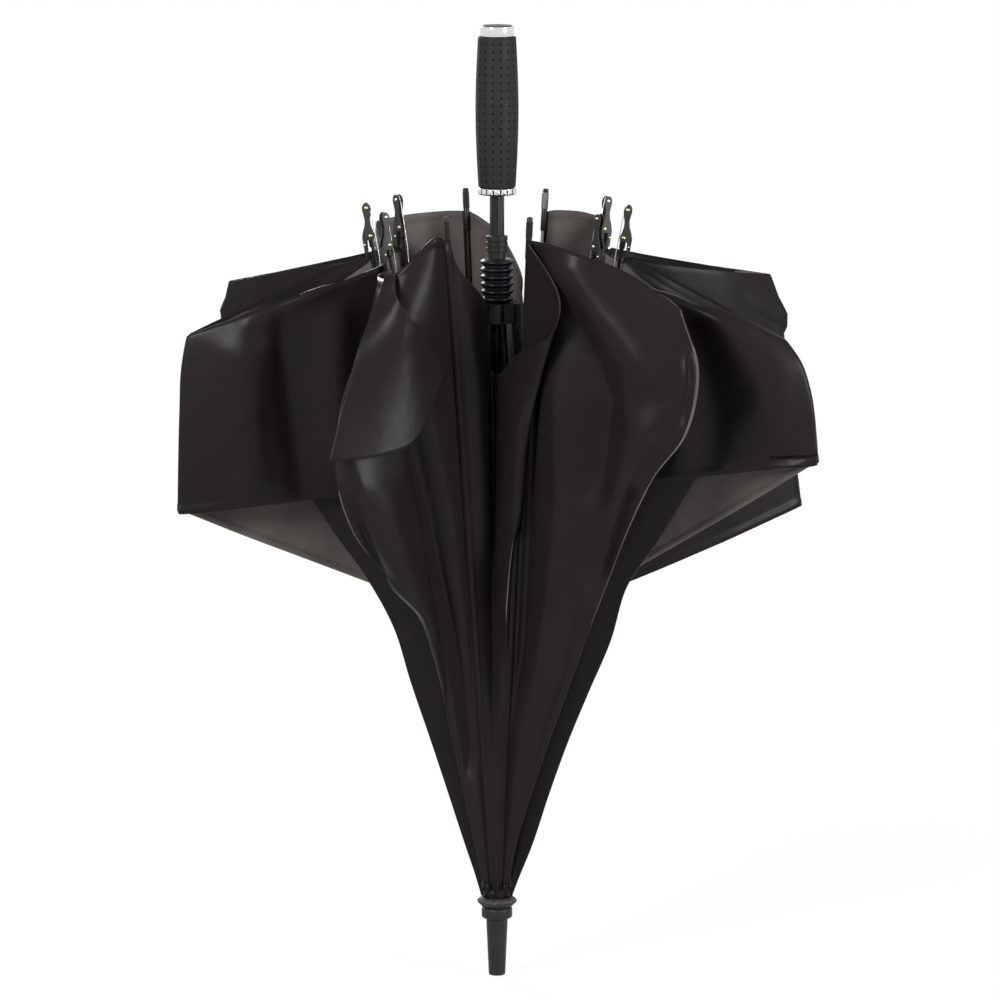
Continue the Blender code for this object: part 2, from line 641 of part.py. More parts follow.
def smooth_curve(points, count):
    """Evenly spaced points on a Catmull-Rom curve through the given ones."""
    ends = [2 * points[0] - points[1], *points, 2 * points[-1] - points[-2]]
    dense = []
    steps = 12
    for k in range(1, len(ends) - 2):
        a, b, c, d = ends[k - 1:k + 3]
        for step in range(steps):
            t = step / steps
            dense.append(0.5 * (
                2 * b + (c - a) * t + (2 * a - 5 * b + 4 * c - d) * t ** 2
                + (3 * b - a - 3 * c + d) * t ** 3
            ))
    dense.append(points[-1])
    lengths = [0.0]
    for k in range(1, len(dense)):
        lengths.append(lengths[-1] + (dense[k] - dense[k - 1]).length)
    result, at = [], 0
    for k in range(count):
        goal = lengths[-1] * k / (count - 1)
        while at < len(dense) - 2 and lengths[at + 1] < goal:
            at += 1
        span = lengths[at + 1] - lengths[at]
        share = (goal - lengths[at]) / span if span else 0
        result.append(dense[at].lerp(dense[at + 1], min(1.0, share)))
    return result


def fold_curve(shares, azimuths):
    """World points of a fold from its shares of the rib's length; azimuths is one angle or one each."""
    if not isinstance(azimuths, tuple):
        azimuths = (azimuths,) * len(shares)
    return [
        polar(radius * RIB_LENGTH, azimuth, height * RIB_LENGTH)
        for (radius, height), azimuth in zip(shares, azimuths)
    ]


def seam_curve(index, count, end):
    """The seam that follows a rib's outer side, from the crown to a distance along the rib."""
    pivot, along, _, outward = rib_frame(index)
    base = polar(CLOTH_BASE_RADIUS, rib_azimuth(index), CLOTH_BASE)
    start = pivot + along * SEAM_START + outward * SEAM_LIFT
    finish = pivot + along * end + outward * SEAM_LIFT
    return smooth_curve([base, start, start.lerp(finish, 0.5), finish], count)


def shifted(points, direction, distance):
    return [p + direction * distance for p in points]


def spread_seam(index, curve, direction, sign):
    """A rib's seam moved to one side, further where a folded-back arm lies against the rib."""
    result = []
    for k, point in enumerate(curve):
        share = min(1.0, 2 * k / (len(curve) - 1)) if index in LEVER_RIBS else 0.0
        gap = SEAM_GAP + (ARM_SEAM_GAP - SEAM_GAP) * share
        result.append(point + direction * (sign * gap))
    return result


def layer(left, right, columns, bulge, direction):
    """Rows of points from the left curve to the right one, bowed by bulge along direction."""
    rows = []
    for k, (a, b) in enumerate(zip(left, right)):
        grow = k / (len(left) - 1)
        row = []
        for column in range(columns + 1):
            u = column / columns
            row.append(a.lerp(b, u) + direction * (bulge * grow * 4 * u * (1 - u)))
        rows.append(row)
    return rows


def cloth_solid(name, rows, origin):
    """A closed thin sheet over a grid of points, half of its thickness on each side."""
    height, width = len(rows), len(rows[0])

    def normal(i, j):
        up = rows[min(i + 1, height - 1)][j] - rows[max(i - 1, 0)][j]
        over = rows[i][min(j + 1, width - 1)] - rows[i][max(j - 1, 0)]
        return up.cross(over).normalized() * (CLOTH_THICKNESS / 2)

    front = [rows[i][j] + normal(i, j) for i in range(height) for j in range(width)]
    back = [rows[i][j] - normal(i, j) for i in range(height) for j in range(width)]
    faces = []
    base = height * width
    for i in range(height - 1):
        for j in range(width - 1):
            a, b, c, d = i * width + j, i * width + j + 1, (i + 1) * width + j + 1, (i + 1) * width + j
            faces.append((a, b, c))
            faces.append((a, c, d))
            faces.append((base + a, base + c, base + b))
            faces.append((base + a, base + d, base + c))
    rim = [j for j in range(width)]
    rim += [i * width + width - 1 for i in range(1, height)]
    rim += [(height - 1) * width + j for j in range(width - 2, -1, -1)]
    rim += [i * width for i in range(height - 2, 0, -1)]
    for k, a in enumerate(rim):
        b = rim[(k + 1) % len(rim)]
        faces.append((a, base + a, base + b))
        faces.append((a, base + b, b))
    return add_object(name, front + back, faces, "cloth", origin, smooth_angle=60.0)


def fold_direction(index):
    """Horizontal direction across a gore, from its first rib towards its second."""
    middle = math.radians(rib_azimuth(index + 0.5))
    return Vector((-math.sin(middle), math.cos(middle), 0))


def build_gore(index):
    """One gore as two half panels that meet at its fold, with any folded-back layer on the outside."""
    gore = GORES[index]
    middle = rib_azimuth(index + 0.5)
    across = fold_direction(index)
    base = polar(CLOTH_BASE_RADIUS, middle, CLOTH_BASE)
    lean = gore.get("lean", 0.0)
    shares = gore["fold"]
    azimuths = tuple(middle + lean * height for _, height in shares)
    fold = smooth_curve([base, *fold_curve(shares, azimuths)], CLOTH_ROWS)
    for side, rib, sign in (("a", index, 1), ("b", (index + 1) % RIB_COUNT, -1)):
        end = LEVER_SEAM_END if rib in LEVER_RIBS else PLAIN_SEAM_END
        _, _, sideways, outward = rib_frame(rib)
        seam = spread_seam(rib, seam_curve(rib, CLOTH_ROWS, end), sideways, sign)
        edge = shifted(fold, across, -sign * FOLD_GAP)
        rows = layer(seam, edge, CLOTH_COLUMNS, gore.get("bulge", 0.0) * -sign, across)
        if side in gore.get("flap", {}):
            rows += flap_rows(gore["flap"][side], rib, sign, middle, across, sideways, outward)
        pivot, _, _, _ = rib_frame(rib)
        cloth_solid(f"canopy_gore_{index + 1}{side}", rows, pivot)


def flap_rows(flap, rib, sign, middle, across, sideways, outward):
    """The folded-back layer of a half panel, from its crease down to its hem."""
    edge = smooth_curve(fold_curve(flap["edge"], middle + flap.get("turn", 0.0)), FLAP_ROWS)
    edge = shifted(edge, across, -sign * 3 * FOLD_GAP)
    if "inner" in flap:
        inner = smooth_curve(fold_curve(flap["inner"], FRONT_FLAP_INNER_AZIMUTHS), FLAP_ROWS)
    else:
        pivot, along, _, _ = rib_frame(rib)
        top = pivot + along * LEVER_SEAM_END + outward * ARM_SEAM_LIFT
        low = pivot + along * flap["inner_end"] + outward * ARM_SEAM_LIFT
        inner = smooth_curve([top, top.lerp(low, 0.5), low], FLAP_ROWS)
    inner = shifted(inner, sideways, sign * SEAM_GAP)
    return layer(inner, edge, CLOTH_COLUMNS, flap.get("bulge", 0.0) * -sign, across)


ARM_END_ALONG_RIB = LEVER_PIVOT_LENGTH - ARM_LENGTH
SAIL_BULGE = 0.010
GORES = (
    {"fold": SAIL_FOLD_SHARES, "bulge": SAIL_BULGE, "flap": {
        "a": {"edge": RIGHT_BACK_SAIL_EDGE_SHARES, "inner_end": ARM_END_ALONG_RIB, "bulge": SAIL_BULGE},
        "b": {"edge": RIGHT_BACK_SAIL_EDGE_SHARES, "inner_end": ARM_END_ALONG_RIB, "bulge": SAIL_BULGE},
    }},
    {"fold": BACK_ARCH_FOLD_SHARES},
    {"fold": BACK_VALLEY_SHARES},
    {"fold": BACK_ARCH_FOLD_SHARES},
    {"fold": SAIL_FOLD_SHARES, "bulge": SAIL_BULGE, "flap": {
        "a": {"edge": LEFT_BACK_SAIL_EDGE_SHARES, "inner_end": ARM_END_ALONG_RIB, "bulge": SAIL_BULGE},
        "b": {"edge": LEFT_BACK_SAIL_EDGE_SHARES, "inner_end": ARM_END_ALONG_RIB, "bulge": SAIL_BULGE},
    }},
    {"fold": SAIL_FOLD_SHARES, "bulge": SAIL_BULGE, "flap": {
        "a": {"edge": LEFT_SAIL_EDGE_SHARES, "inner_end": ARM_END_ALONG_RIB, "bulge": SAIL_BULGE},
        "b": {"edge": LEFT_SAIL_EDGE_SHARES, "inner_end": FRONT_SAIL_HEM_END, "bulge": SAIL_BULGE},
    }},
    {"fold": FRONT_FLAP_FOLD_SHARES, "flap": {
        "b": {"edge": FRONT_FLAP_EDGE_SHARES, "inner": FRONT_FLAP_INNER_SHARES},
    }},
    {"fold": FRONT_VALLEY_SHARES},
    {"fold": FRONT_RIGHT_FOLD_SHARES, "lean": 16.0},
    {"fold": RIGHT_SAIL_FOLD_SHARES, "bulge": SAIL_BULGE, "flap": {
        "a": {"edge": RIGHT_SAIL_EDGE_SHARES, "inner_end": FRONT_SAIL_HEM_END, "bulge": SAIL_BULGE},
        "b": {"edge": RIGHT_SAIL_EDGE_SHARES, "inner_end": ARM_END_ALONG_RIB, "bulge": SAIL_BULGE},
    }},
)


def main():
    clear_scene()
    build_shaft()
    build_handle()
    build_runner()
    build_crown()
    build_ferrule()
    for index in range(RIB_COUNT):
        build_rib(index)
        build_stretcher(index)
    for number, index in enumerate(LEVER_RIBS, start=1):
        build_extension_arm(number, index)
    for index in range(RIB_COUNT):
        build_gore(index)


main()
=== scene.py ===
"""The looks of a black two-person stick umbrella, closed but not rolled up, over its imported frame.

Metres, +Z up, in the frame's own axes: the handle's end is the origin and the shaft runs down.
"""

import json
import math

import bmesh
import bpy
import numpy as np
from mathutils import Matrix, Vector, noise


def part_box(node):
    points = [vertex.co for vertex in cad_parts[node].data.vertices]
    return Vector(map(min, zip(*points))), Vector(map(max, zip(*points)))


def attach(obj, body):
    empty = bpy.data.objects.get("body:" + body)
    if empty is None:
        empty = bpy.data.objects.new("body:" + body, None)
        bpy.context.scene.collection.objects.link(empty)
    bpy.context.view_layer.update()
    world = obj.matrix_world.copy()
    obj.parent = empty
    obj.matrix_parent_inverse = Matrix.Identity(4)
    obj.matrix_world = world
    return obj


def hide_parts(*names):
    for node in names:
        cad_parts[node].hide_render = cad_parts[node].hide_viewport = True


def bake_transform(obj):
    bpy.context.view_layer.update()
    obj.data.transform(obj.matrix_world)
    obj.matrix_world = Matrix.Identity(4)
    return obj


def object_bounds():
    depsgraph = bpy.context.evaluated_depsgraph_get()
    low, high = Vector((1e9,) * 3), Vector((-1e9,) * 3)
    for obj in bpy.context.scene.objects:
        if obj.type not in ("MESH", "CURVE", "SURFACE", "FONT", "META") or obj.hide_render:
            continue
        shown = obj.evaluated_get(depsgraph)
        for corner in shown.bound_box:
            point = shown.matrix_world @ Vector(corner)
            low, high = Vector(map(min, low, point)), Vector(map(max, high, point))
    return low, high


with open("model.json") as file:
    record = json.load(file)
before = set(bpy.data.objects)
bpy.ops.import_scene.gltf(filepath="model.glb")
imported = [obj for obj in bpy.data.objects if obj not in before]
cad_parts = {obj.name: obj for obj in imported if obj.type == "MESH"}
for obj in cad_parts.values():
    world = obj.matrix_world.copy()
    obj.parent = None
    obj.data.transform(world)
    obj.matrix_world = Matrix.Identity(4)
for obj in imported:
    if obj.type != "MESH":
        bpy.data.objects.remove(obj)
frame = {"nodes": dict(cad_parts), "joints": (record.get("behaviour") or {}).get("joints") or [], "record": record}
CAD_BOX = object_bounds()
JOINTS = {joint["name"]: joint for joint in frame["joints"]}
THOUSAND = 1000

# Frame sizes that the looks are fitted to
RIB_COUNT = 10
RIB_STEP = 360.0 / RIB_COUNT
RIB_LENGTH = 0.696
LEVER_RIBS = (1, 2, 5, 6, 7, 10)
LEVER_PIVOT_LENGTH = 0.664
LEVER_SEAM_END = 0.640
PLAIN_SEAM_END = 0.676
ARM_END_ALONG_RIB = 0.292
FRONT_HEM_END = 0.420
SHAFT_RADIUS = 0.0072

# Cloth
CLOTH_THICKNESS = 0.00045
HEM_THICKNESS = 0.0012
HEM_WIDTH = 0.007
HEM_ROW_SHARES = (0.0, 0.5, 0.97, 1.06, 1.6)
SEAM_START = 0.021
SEAM_GAP = 0.0025
ARM_SEAM_GAP = 0.0044
SEAM_LIFT = 0.0030
ARM_SEAM_LIFT = 0.0130
CLOTH_BASE = -0.0116
CLOTH_BASE_RADIUS = 0.0149
GATHER_TOP = 0.0015
PLAIN_BULGE = 0.004
SAIL_BULGE = 0.010
LAYER_BULGE = 0.012
FLAP_BULGE = 0.016
SEAM_FADE = 0.02
FOLD_FADE = 0.04
FOLD_END = 0.22
ROOM_SHARE = 0.75
HEM_REACH = 4  # power with which a hem's form fades below it
CREST_RADIUS = 0.0022
LAYER_CREST_RADIUS = 0.0046
EVEN_STEPS = 16
NOT_ZERO = 1e-12
MAIN_KNOTS = 12
LAYER_KNOTS = 6
MAIN_STEPS = 8
LAYER_STEPS = 7
TURN_STEPS = 3
TURN_RISE = 0.0035
PANEL_STEPS = (8, 8, 7, 4)

# A gore's section: where its two inner knots lie between seam and fold, how much of the bulge each
# takes, and the limits of bulge and crest in a narrow gore
NEAR_SHARE, FAR_SHARE = 0.30, 0.70
NEAR_BOW, FAR_BOW = 0.80, 0.85
BOW_LIMIT, CREST_LIMIT = 0.16, 0.30
CREST_DEPTH = 1.6

# Slack: size and height of the long and the short waves, and how much calmer they are near the fold
LONG_WAVE, LONG_WAVE_RISE = 0.060, 0.0035
LONG_WAVE_SQUEEZE = (1.0, 1.0, 0.28)
SHORT_WAVE, SHORT_WAVE_RISE = 0.030, 0.0008
SHORT_WAVE_SEED = 11
WAVE_SHIFT = (7.3, 3.1, 5.7)
CALM, CALM_WIDTH = 0.75, 0.05

# Part of the front gore whose folded-over slack gets the dark outer cloth on its inside face too: painted shade
# over that face
PAINTED_SHADE_SIDE = 0.72
PAINTED_SHADE_TOP = 0.70

# Lapel: for each knot across it, its place from the crease to the hem, and its shares of bulge and drop
LAPEL_GORE = 7
LAPEL_BULGE = 0.015
LAPEL_DROP = 0.034
LAPEL_LIFT = 0.012
LAPEL_CREASE = 0.0045
LAPEL_CREASE_START = 0.5
LAPEL_SECTION_SHARES = (
    (0.0, 0.0, 0.0), (0.10, 0.35, 0.2), (0.38, 0.9, 0.75), (0.68, 0.9, 1.0), (1.0, 0.0, 0.0),
)
LAPEL_STEPS = (6, 12, 12, 12)

# Strips over the ribs, and caps on the plain ones
COVER_ROWS = 40
COVER_FIRST_ROW = 1
COVER_COLUMNS = 6
COVER_RISE = 0.0008
COVER_OVERLAP = 0.0008
COVER_CROWN_OVERLAP = 0.0015
COVER_FADE = 12
CAP_RADIUS = 0.0030
CAP_START = 0.656
CAP_END = 0.6985
CAP_START_SHARE, CAP_END_SHARE = 0.8, 0.75
CAP_SIDES = 16

# Handle and shaft
TURNED_SIDES = 96
ROUNDING_POINTS = 6
BORE = 0.0075
GRIP_BELLY = 0.02125
GRIP_TOP_RADIUS = 0.01885
GRIP_BOTTOM_RADIUS = 0.01850
GRIP_ROUNDING = 0.0016
GRIP_SKIN_SHARE = 0.99
DOT_COLUMNS = 16
DOT_ROWS = 19
DOT_PITCH = 0.0075
DOT_RADIUS = 0.0009
DOT_DEPTH = 0.0008
DOT_RIM_SHARES = (-1.0, -0.6, 0.0, 0.6, 1.0)
MATCH_DIGITS = 6
END_RING_EDGE = 0.0011
END_RING_WALL = 0.0012
LOWER_RING_EDGE = 0.0016
RING_SIDES = 240
RING_FLUTES = 16
RING_FLUTE_DEPTH = 0.0006
RING_SKIN_SHARE = 0.9
RING_SHADE_LIMIT = -0.72  # cosine below which a flute's valley gets painted shade
SHAFT_SKIN = 0.0008
SHAFT_FLUTES = 8
SHAFT_FLUTE_DEPTH = 0.00018

# Runner
RUNNER_GAP = 0.0004
RUNNER_WALL = 0.0010
COLLAR_RINGS = 3
COLLAR_HEIGHT = 0.0169
COLLAR_RING_SHARE = 0.44
COLLAR_RING_SET_BACK = 0.6
COLLAR_ARC, COLLAR_ARC_POINTS = 75, 8
BELLOWS_GAP = 0.0003
BELLOWS_FINS = 6
FIN_ROOT = 0.0138
FIN_ROOT_SHARE, FIN_TIP_SHARE = 0.42, 0.24
FIN_ARC, FIN_ARC_POINTS = 80, 7

# Rosette and ferrule; the rosette's edge is given from its rim's radius and middle height
ROSETTE_NECK = 0.0142
ROSETTE_FOOT = 0.0004
ROSETTE_EDGE = ((-0.0018, 0.0026), (0.0, 0.0006), (-0.0004, -0.0010), (-0.0022, -0.0022))
RUFFLE_SIDES = 264
RUFFLE_WAVES = 22
RUFFLE_DEPTH = 0.0011
RUFFLE_DRIFT, RUFFLE_DRIFT_WAVES = 2.0, 5
FERRULE_RING_STEP = 0.0009
FERRULE_RING_EDGE = 0.0022
FERRULE_RING_ARC, FERRULE_RING_POINTS = 60, 4
FERRULE_STEP = (0.0004, 0.0006)
FERRULE_TIP_RADIUS = 0.0084
FERRULE_EDGE = 0.0012
FERRULE_ARC, FERRULE_POINTS = 8, 7
FERRULE_PIT_RADIUS, FERRULE_PIT_DEPTH = 0.0004, 0.0200

# Levers with their extension arms, rivets and link wires
LEVER_HEIGHT = 0.0280
LEVER_REACH = 0.0085
LEVER_DEPTH = 0.0032
LEVER_GAP = 0.0044
LEVER_PLATE = 0.0012
LEVER_EDGE = 0.0003
LEVER_BAR_INNER = 0.62
LEVER_TOP_SHARE = 0.2
LEVER_INNER_SHARES = (
    (-1.0, -0.14), (-1.2, 0.02), (-0.85, 0.16), (-0.5, 0.36), (-0.55, 0.56), (-1.05, 0.76),
    (-1.42, 0.92), (-1.25, 1.06), (-0.7, 1.15), (0.0, 1.18),
)
LEVER_OUTER_SHARES = (
    (0.16, 1.16), (0.36, 1.09), (0.46, 0.95), (0.38, 0.76), (0.34, 0.58), (0.50, 0.38),
    (0.80, 0.18), (1.0, -0.02), (1.0, -0.60),
    (LEVER_BAR_INNER, -0.60), (0.50, -0.14),
)
ARM_RADIUS = 0.0014
ARM_LENGTH = 0.3720
ARM_ROOT_SHARE = 1.07
ARM_TIP_RADIUS = 0.0022
ARM_TIP_LENGTH = 0.0120
ARM_TIP_STEP = 0.0003
SOCKET_DROP = 0.0084
SOCKET_LENGTH = 0.0162
ROD_SIDES = 10
ROD_TURN = (0.31, 0.87, 0.38)  # a direction that no rod takes
RIVET_RADIUS = 0.0017
RIVET_HEAD = 0.0007
RIVET_SIDES = 14
RIVET_DOME = ((1.0, 0.45), (0.7, 0.85), (0.0, 1.0))
LARGE_RIVET, SMALL_RIVET = 1.15, 0.7
WIRE_RADIUS = 0.00048
WIRE_SIDES = 8
WIRE_INNER = 0.0052
WIRE_LOW_END = 0.340
WIRE_KNEE = 0.062
WIRE_BEND = 0.0012
WIRE_SHARES = (0.6, 0.7, 0.55)  # of WIRE_INNER, at the wire's low end, knee and hook
WIRE_STEPS = (6, 6, 6, 3)

# Looks: the scale of each pattern over a metre, its detail, depth and strength
WEAVE_SCALE, WEAVE_DETAIL = 900.0, 3.0
WEAVE_SHARE, WEAVE_STRENGTH = 0.6, 0.35
PATCH_SCALE, PATCH_SHARE = 14.0, 0.4
RAMP_RANGE = (0.3, 0.7)
CRINKLE_SCALE, CRINKLE_DETAIL = 60.0, 4.0
CRINKLE_DEPTH, CRINKLE_STRENGTH = 0.0006, 0.5
SHEEN_ROUGHNESS = 0.45
SHEEN_TINT = (0.9, 0.86, 0.84, 1)
SURFACE_SCALE, SURFACE_DETAIL = 35.0, 4.0
GLOSS_SPREAD = 0.25
GRAIN_DETAIL, GRAIN_STRENGTH = 3.0, 0.5

# Camera and stage; a light has its place, its size and its power
CAMERA_DISTANCE = 5.8
CAMERA_HEIGHT = 0.49
CAMERA_TARGET_Z = -0.475
SENSOR_WIDTH = 0.036
LENS_LENGTH = 0.2128
FRAME_SHIFT_X = 0.0030
FRAME_SHIFT_Y = 0.0026
WORLD_STRENGTH = 0.16
FLOOR_SIZE = 4.0
FLOOR_GAP = 0.0005
FLOOR_WHITE = 0.90
FLOOR_ROUGHNESS = 0.9
SHADOW_WHITE = 0.90
SHADOW_START = 0.35
SHADOW_END = 1.10
LIGHT_TARGET = (0, 0, -0.5)
LIGHTS = {
    "key": ((-2.2, -2.8, 1.1), (1.2, 1.4), 150.0),
    "fill": ((2.9, -2.0, 0.4), (0.9, 1.8), 130.0),
    "rim": ((-1.3, 2.9, 0.8), (1.2, 1.4), 90.0),
}

# Folds and edges, in thousandths of the rib's length: radius and height over the ribs' pivots
LOWER_FOLD = ((49, 65), (90, 192), (132, 317), (165, 417))
SAIL_FOLD = LOWER_FOLD + ((216, 489), (287, 603), (366, 718), (428, 800))
RIGHT_SAIL_FOLD = (
    (49, 46), (96, 182), (139, 287), (174, 368), (198, 447), (240, 510), (300, 610), (366, 718),
    (418, 800),
)
ARCH_FOLD = LOWER_FOLD + ((205, 570), (232, 750), (238, 945))
LEFT_ARCH_FOLD = LOWER_FOLD + ((205, 570), (248, 750), (285, 890), (272, 936))
FLAP_FOLD = (
    (49, 65), (91, 202), (128, 321), (158, 407), (212, 453), (255, 501), (313, 559), (345, 640),
    (335, 730), (300, 800), (245, 900),
)
FRONT_RIGHT_FOLD = (
    (60, 91), (107, 189), (148, 278), (183, 346), (229, 448), (266, 520), (299, 603), (340, 650),
    (378, 700), (390, 760), (384, 815), (352, 868),
)
FRONT_VALLEY = ((40, 120), (56, 280), (64, 440), (64, 600), (58, 750))
BACK_VALLEY = ((42, 140), (62, 340), (74, 560), (80, 740), (82, 850))
LEFT_EDGE = ((448, 812), (455, 790), (460, 680), (462, 562))
LEFT_BACK_EDGE = ((417, 857), (424, 820), (432, 700), (436, 580))
RIGHT_EDGE = ((436, 810), (458, 780), (474, 725), (481, 642))
RIGHT_BACK_EDGE = ((404, 874), (420, 830), (432, 700), (452, 535))
FLAP_EDGE = ((244, 910), (275, 856), (305, 812), (345, 720), (368, 662))
FLAP_HEM = ((243, 911), (262, 885), (252, 855), (205, 812), (178, 772))
FLAP_HEM_AZIMUTHS = (234.6, 238.0, 242.0, 244.0, 246.0)

# Rises of the hem over a plain curve, in thousandths of the rib's length, from left to right seam
ARCH_HEM = (0, 4, 6, 4, 0, 4, 6, 4, 0)
BACK_HEM = (0, -60, -60, -30, 0, 26, 45, 24, 0)
FLAP_TOP = (0, 0, 0, 0, 0, 2, 12, 20, 0)
FIRST_HALF_LOW = (0, -16, -10, -4, 0, 0, 0, 0, 0)
LAST_HALF_LOW = FIRST_HALF_LOW[::-1]
FRONT_RIGHT_HEM = (0, 20, 26, 4, 0, 0, 0, 0, 0)
# The free part of the front gore's hem, in millimetres: a deep notch, and slack folded over rib 9
FRONT_HEM_LINE = (
    (-36, -110, -228), (-9, -84, -267), (-13, -70, -304), (-1, -62, -338), (20.5, -122, -308),
    (53, -160, -283), (60, -157, -246),
)

# Soft folds, as seen from the front, in millimetres: where each runs (x, z), its width to the left
# and to the right of that line going down, and how far the cloth stands out along it
RIGHT_FLAP_FOLDS = (
    (((172, -348), (158, -366), (141, -392), (126, -430), (114, -470), (100, -525), (91, -560)), 30, 3, 10),
    (((186, -290), (188, -330), (178, -372)), 8, 10, -7),
    (((136, -425), (127, -455), (118, -492), (104, -535)), 6, 8, -9),
    (((62, -225), (76, -275), (96, -315), (106, -350), (104, -400), (96, -480)), 17, 13, -10),
    (((52, -190), (92, -250), (131, -298), (158, -342)), 30, 24, 12),
    (((54, -284), (60, -360), (62, -450), (56, -560), (40, -690)), 16, 14, 8),
    (((90, -500), (78, -580), (58, -680), (34, -780)), 10, 12, -4),
    (((34, -250), (30, -340), (24, -440), (17, -580), (10, -700)), 8, 10, -12),
)
LEFT_FLAP_FOLDS = (
    (((-84, -330), (-74, -400), (-60, -470), (-52, -540), (-39, -650), (-24, -760)), 9, 10, -30),
    (((-144, -390), (-137, -420), (-131, -450), (-118, -495), (-99, -540), (-80, -600)), 3, 22, 8),
    (((-146, -430), (-138, -465), (-119, -505), (-100, -545)), 7, 6, -8),
    (((-118, -400), (-104, -477), (-84, -540), (-64, -610), (-46, -690)), 16, 18, 7),
)
LEFT_SAIL_FOLDS = (
    (((-214, -250), (-209, -320), (-202, -390), (-188, -480)), 8, 32, -6),
    (((-246, -270), (-242, -360), (-236, -480)), 30, 22, 11),
    (((-150, -236), (-200, -262), (-262, -292)), 16, 12, 5),
    (((-152, -250), (-154, -330), (-150, -440)), 22, 14, 9),
)
RIGHT_SAIL_FOLDS = (
    (((178, -240), (200, -310), (212, -370), (206, -440)), 22, 16, -6),
    (((140, -215), (210, -262), (262, -330), (276, -410)), 26, 30, 12),
    (((300, -405), (262, -420), (225, -445)), 12, 10, -5),
    (((170, -300), (176, -370), (186, -440)), 20, 14, 6),
)
RIGHT_BACK_FOLDS = (
    (((150, -240), (170, -330), (176, -430)), 24, 24, 9),
    (((215, -260), (225, -340), (225, -440)), 18, 18, -6),
    (((262, -280), (268, -360), (262, -460)), 18, 16, 8),
)
LEFT_BACK_FOLDS = (
    (((-145, -240), (-160, -330), (-168, -430)), 24, 24, 9),
    (((-210, -260), (-214, -340), (-212, -440)), 18, 18, -6),
    (((-255, -280), (-262, -360), (-258, -460)), 16, 18, 8),
)
FRONT_FOLDS = (
    (((-50, -215), (-30, -270), (-20, -330), (-16, -420), (-12, -560)), 10, 10, 5),
    (((26, -330), (22, -400), (18, -500), (12, -640)), 10, 8, 5),
)

FRONT_SHIFT = 0.008

# The ten gores; gore 1 lies between ribs 1 and 2, counter-clockwise seen from the handle
GORES = {
    1: dict(
        fold=SAIL_FOLD, bulge=SAIL_BULGE, hem=LAST_HALF_LOW,
        layer=RIGHT_BACK_EDGE, layer_folds=RIGHT_BACK_FOLDS, half="b",
    ),
    2: dict(fold=ARCH_FOLD, loose=True, hem=ARCH_HEM, bulge=LAYER_BULGE),
    3: dict(fold=BACK_VALLEY, loose=True, hem=BACK_HEM, lean=-26.0),
    4: dict(fold=LEFT_ARCH_FOLD, lean=9.0, loose=True, hem=ARCH_HEM, bulge=LAYER_BULGE),
    5: dict(
        fold=SAIL_FOLD, bulge=SAIL_BULGE, hem=FIRST_HALF_LOW,
        layer=LEFT_BACK_EDGE, layer_folds=LEFT_BACK_FOLDS, half="a",
    ),
    6: dict(
        fold=SAIL_FOLD, bulge=SAIL_BULGE, hem=FIRST_HALF_LOW,
        layer=LEFT_EDGE, ends=(ARM_END_ALONG_RIB, FRONT_HEM_END),
        layer_folds=LEFT_SAIL_FOLDS, half="b", fine=2,
    ),
    7: dict(
        fold=FLAP_FOLD, bulge=FLAP_BULGE, hem=FLAP_TOP,
        folds=LEFT_FLAP_FOLDS, half="b", fine=2,
    ),
    8: dict(
        fold=FRONT_VALLEY, loose=True, hem_line=FRONT_HEM_LINE, shift=FRONT_SHIFT,
        folds=FRONT_FOLDS, half="ab", fine=2,
    ),
    9: dict(
        fold=FRONT_RIGHT_FOLD, lean=16.0, bulge=FLAP_BULGE, hem=FRONT_RIGHT_HEM,
        folds=RIGHT_FLAP_FOLDS, half="a", fine=2,
    ),
    10: dict(
        fold=RIGHT_SAIL_FOLD, bulge=SAIL_BULGE, hem=LAST_HALF_LOW,
        layer=RIGHT_EDGE, ends=(FRONT_HEM_END, ARM_END_ALONG_RIB),
        layer_folds=RIGHT_SAIL_FOLDS, half="a", fine=2,
    ),
}


# Curves and meshes

def unit(vector):
    return vector / np.linalg.norm(vector, axis=-1, keepdims=True)


def spline(knots, steps):
    """Points on a Catmull-Rom curve through knots (first axis), with steps[k] steps in stretch k."""
    knots = np.asarray(knots, float)
    ends = np.concatenate([2 * knots[:1] - knots[1:2], knots, 2 * knots[-1:] - knots[-2:-1]])
    rows = []
    for k, count in enumerate(steps):
        a, b, c, d = ends[k:k + 4]
        for step in range(count):
            t = step / count
            rows.append(0.5 * (
                2 * b + (c - a) * t + (2 * a - 5 * b + 4 * c - d) * t ** 2
                + (3 * b - a - 3 * c + d) * t ** 3
            ))
    rows.append(knots[-1])
    return np.array(rows)


def lengths_along(points):
    """The length along each line of points (first axis) from its start."""
    steps = np.linalg.norm(np.diff(points, axis=0), axis=-1)
    return np.concatenate([np.zeros((1, *steps.shape[1:])), np.cumsum(steps, axis=0)])


def surface(knots, steps, columns):
    """A grid over knots whose first axis runs across the cloth and whose second runs up it."""
    rows = spline(knots.transpose(1, 0, 2), steps)
    return spline(rows.transpose(1, 0, 2), columns).transpose(1, 0, 2)


def even(knots, count):
    """The same curve as count points that lie evenly along it."""
    dense = spline(knots, [EVEN_STEPS] * (len(knots) - 1))
    lengths = lengths_along(dense)
    goals = np.linspace(0, lengths[-1], count)
    return np.stack([np.interp(goals, lengths, dense[:, axis]) for axis in range(3)], axis=1)


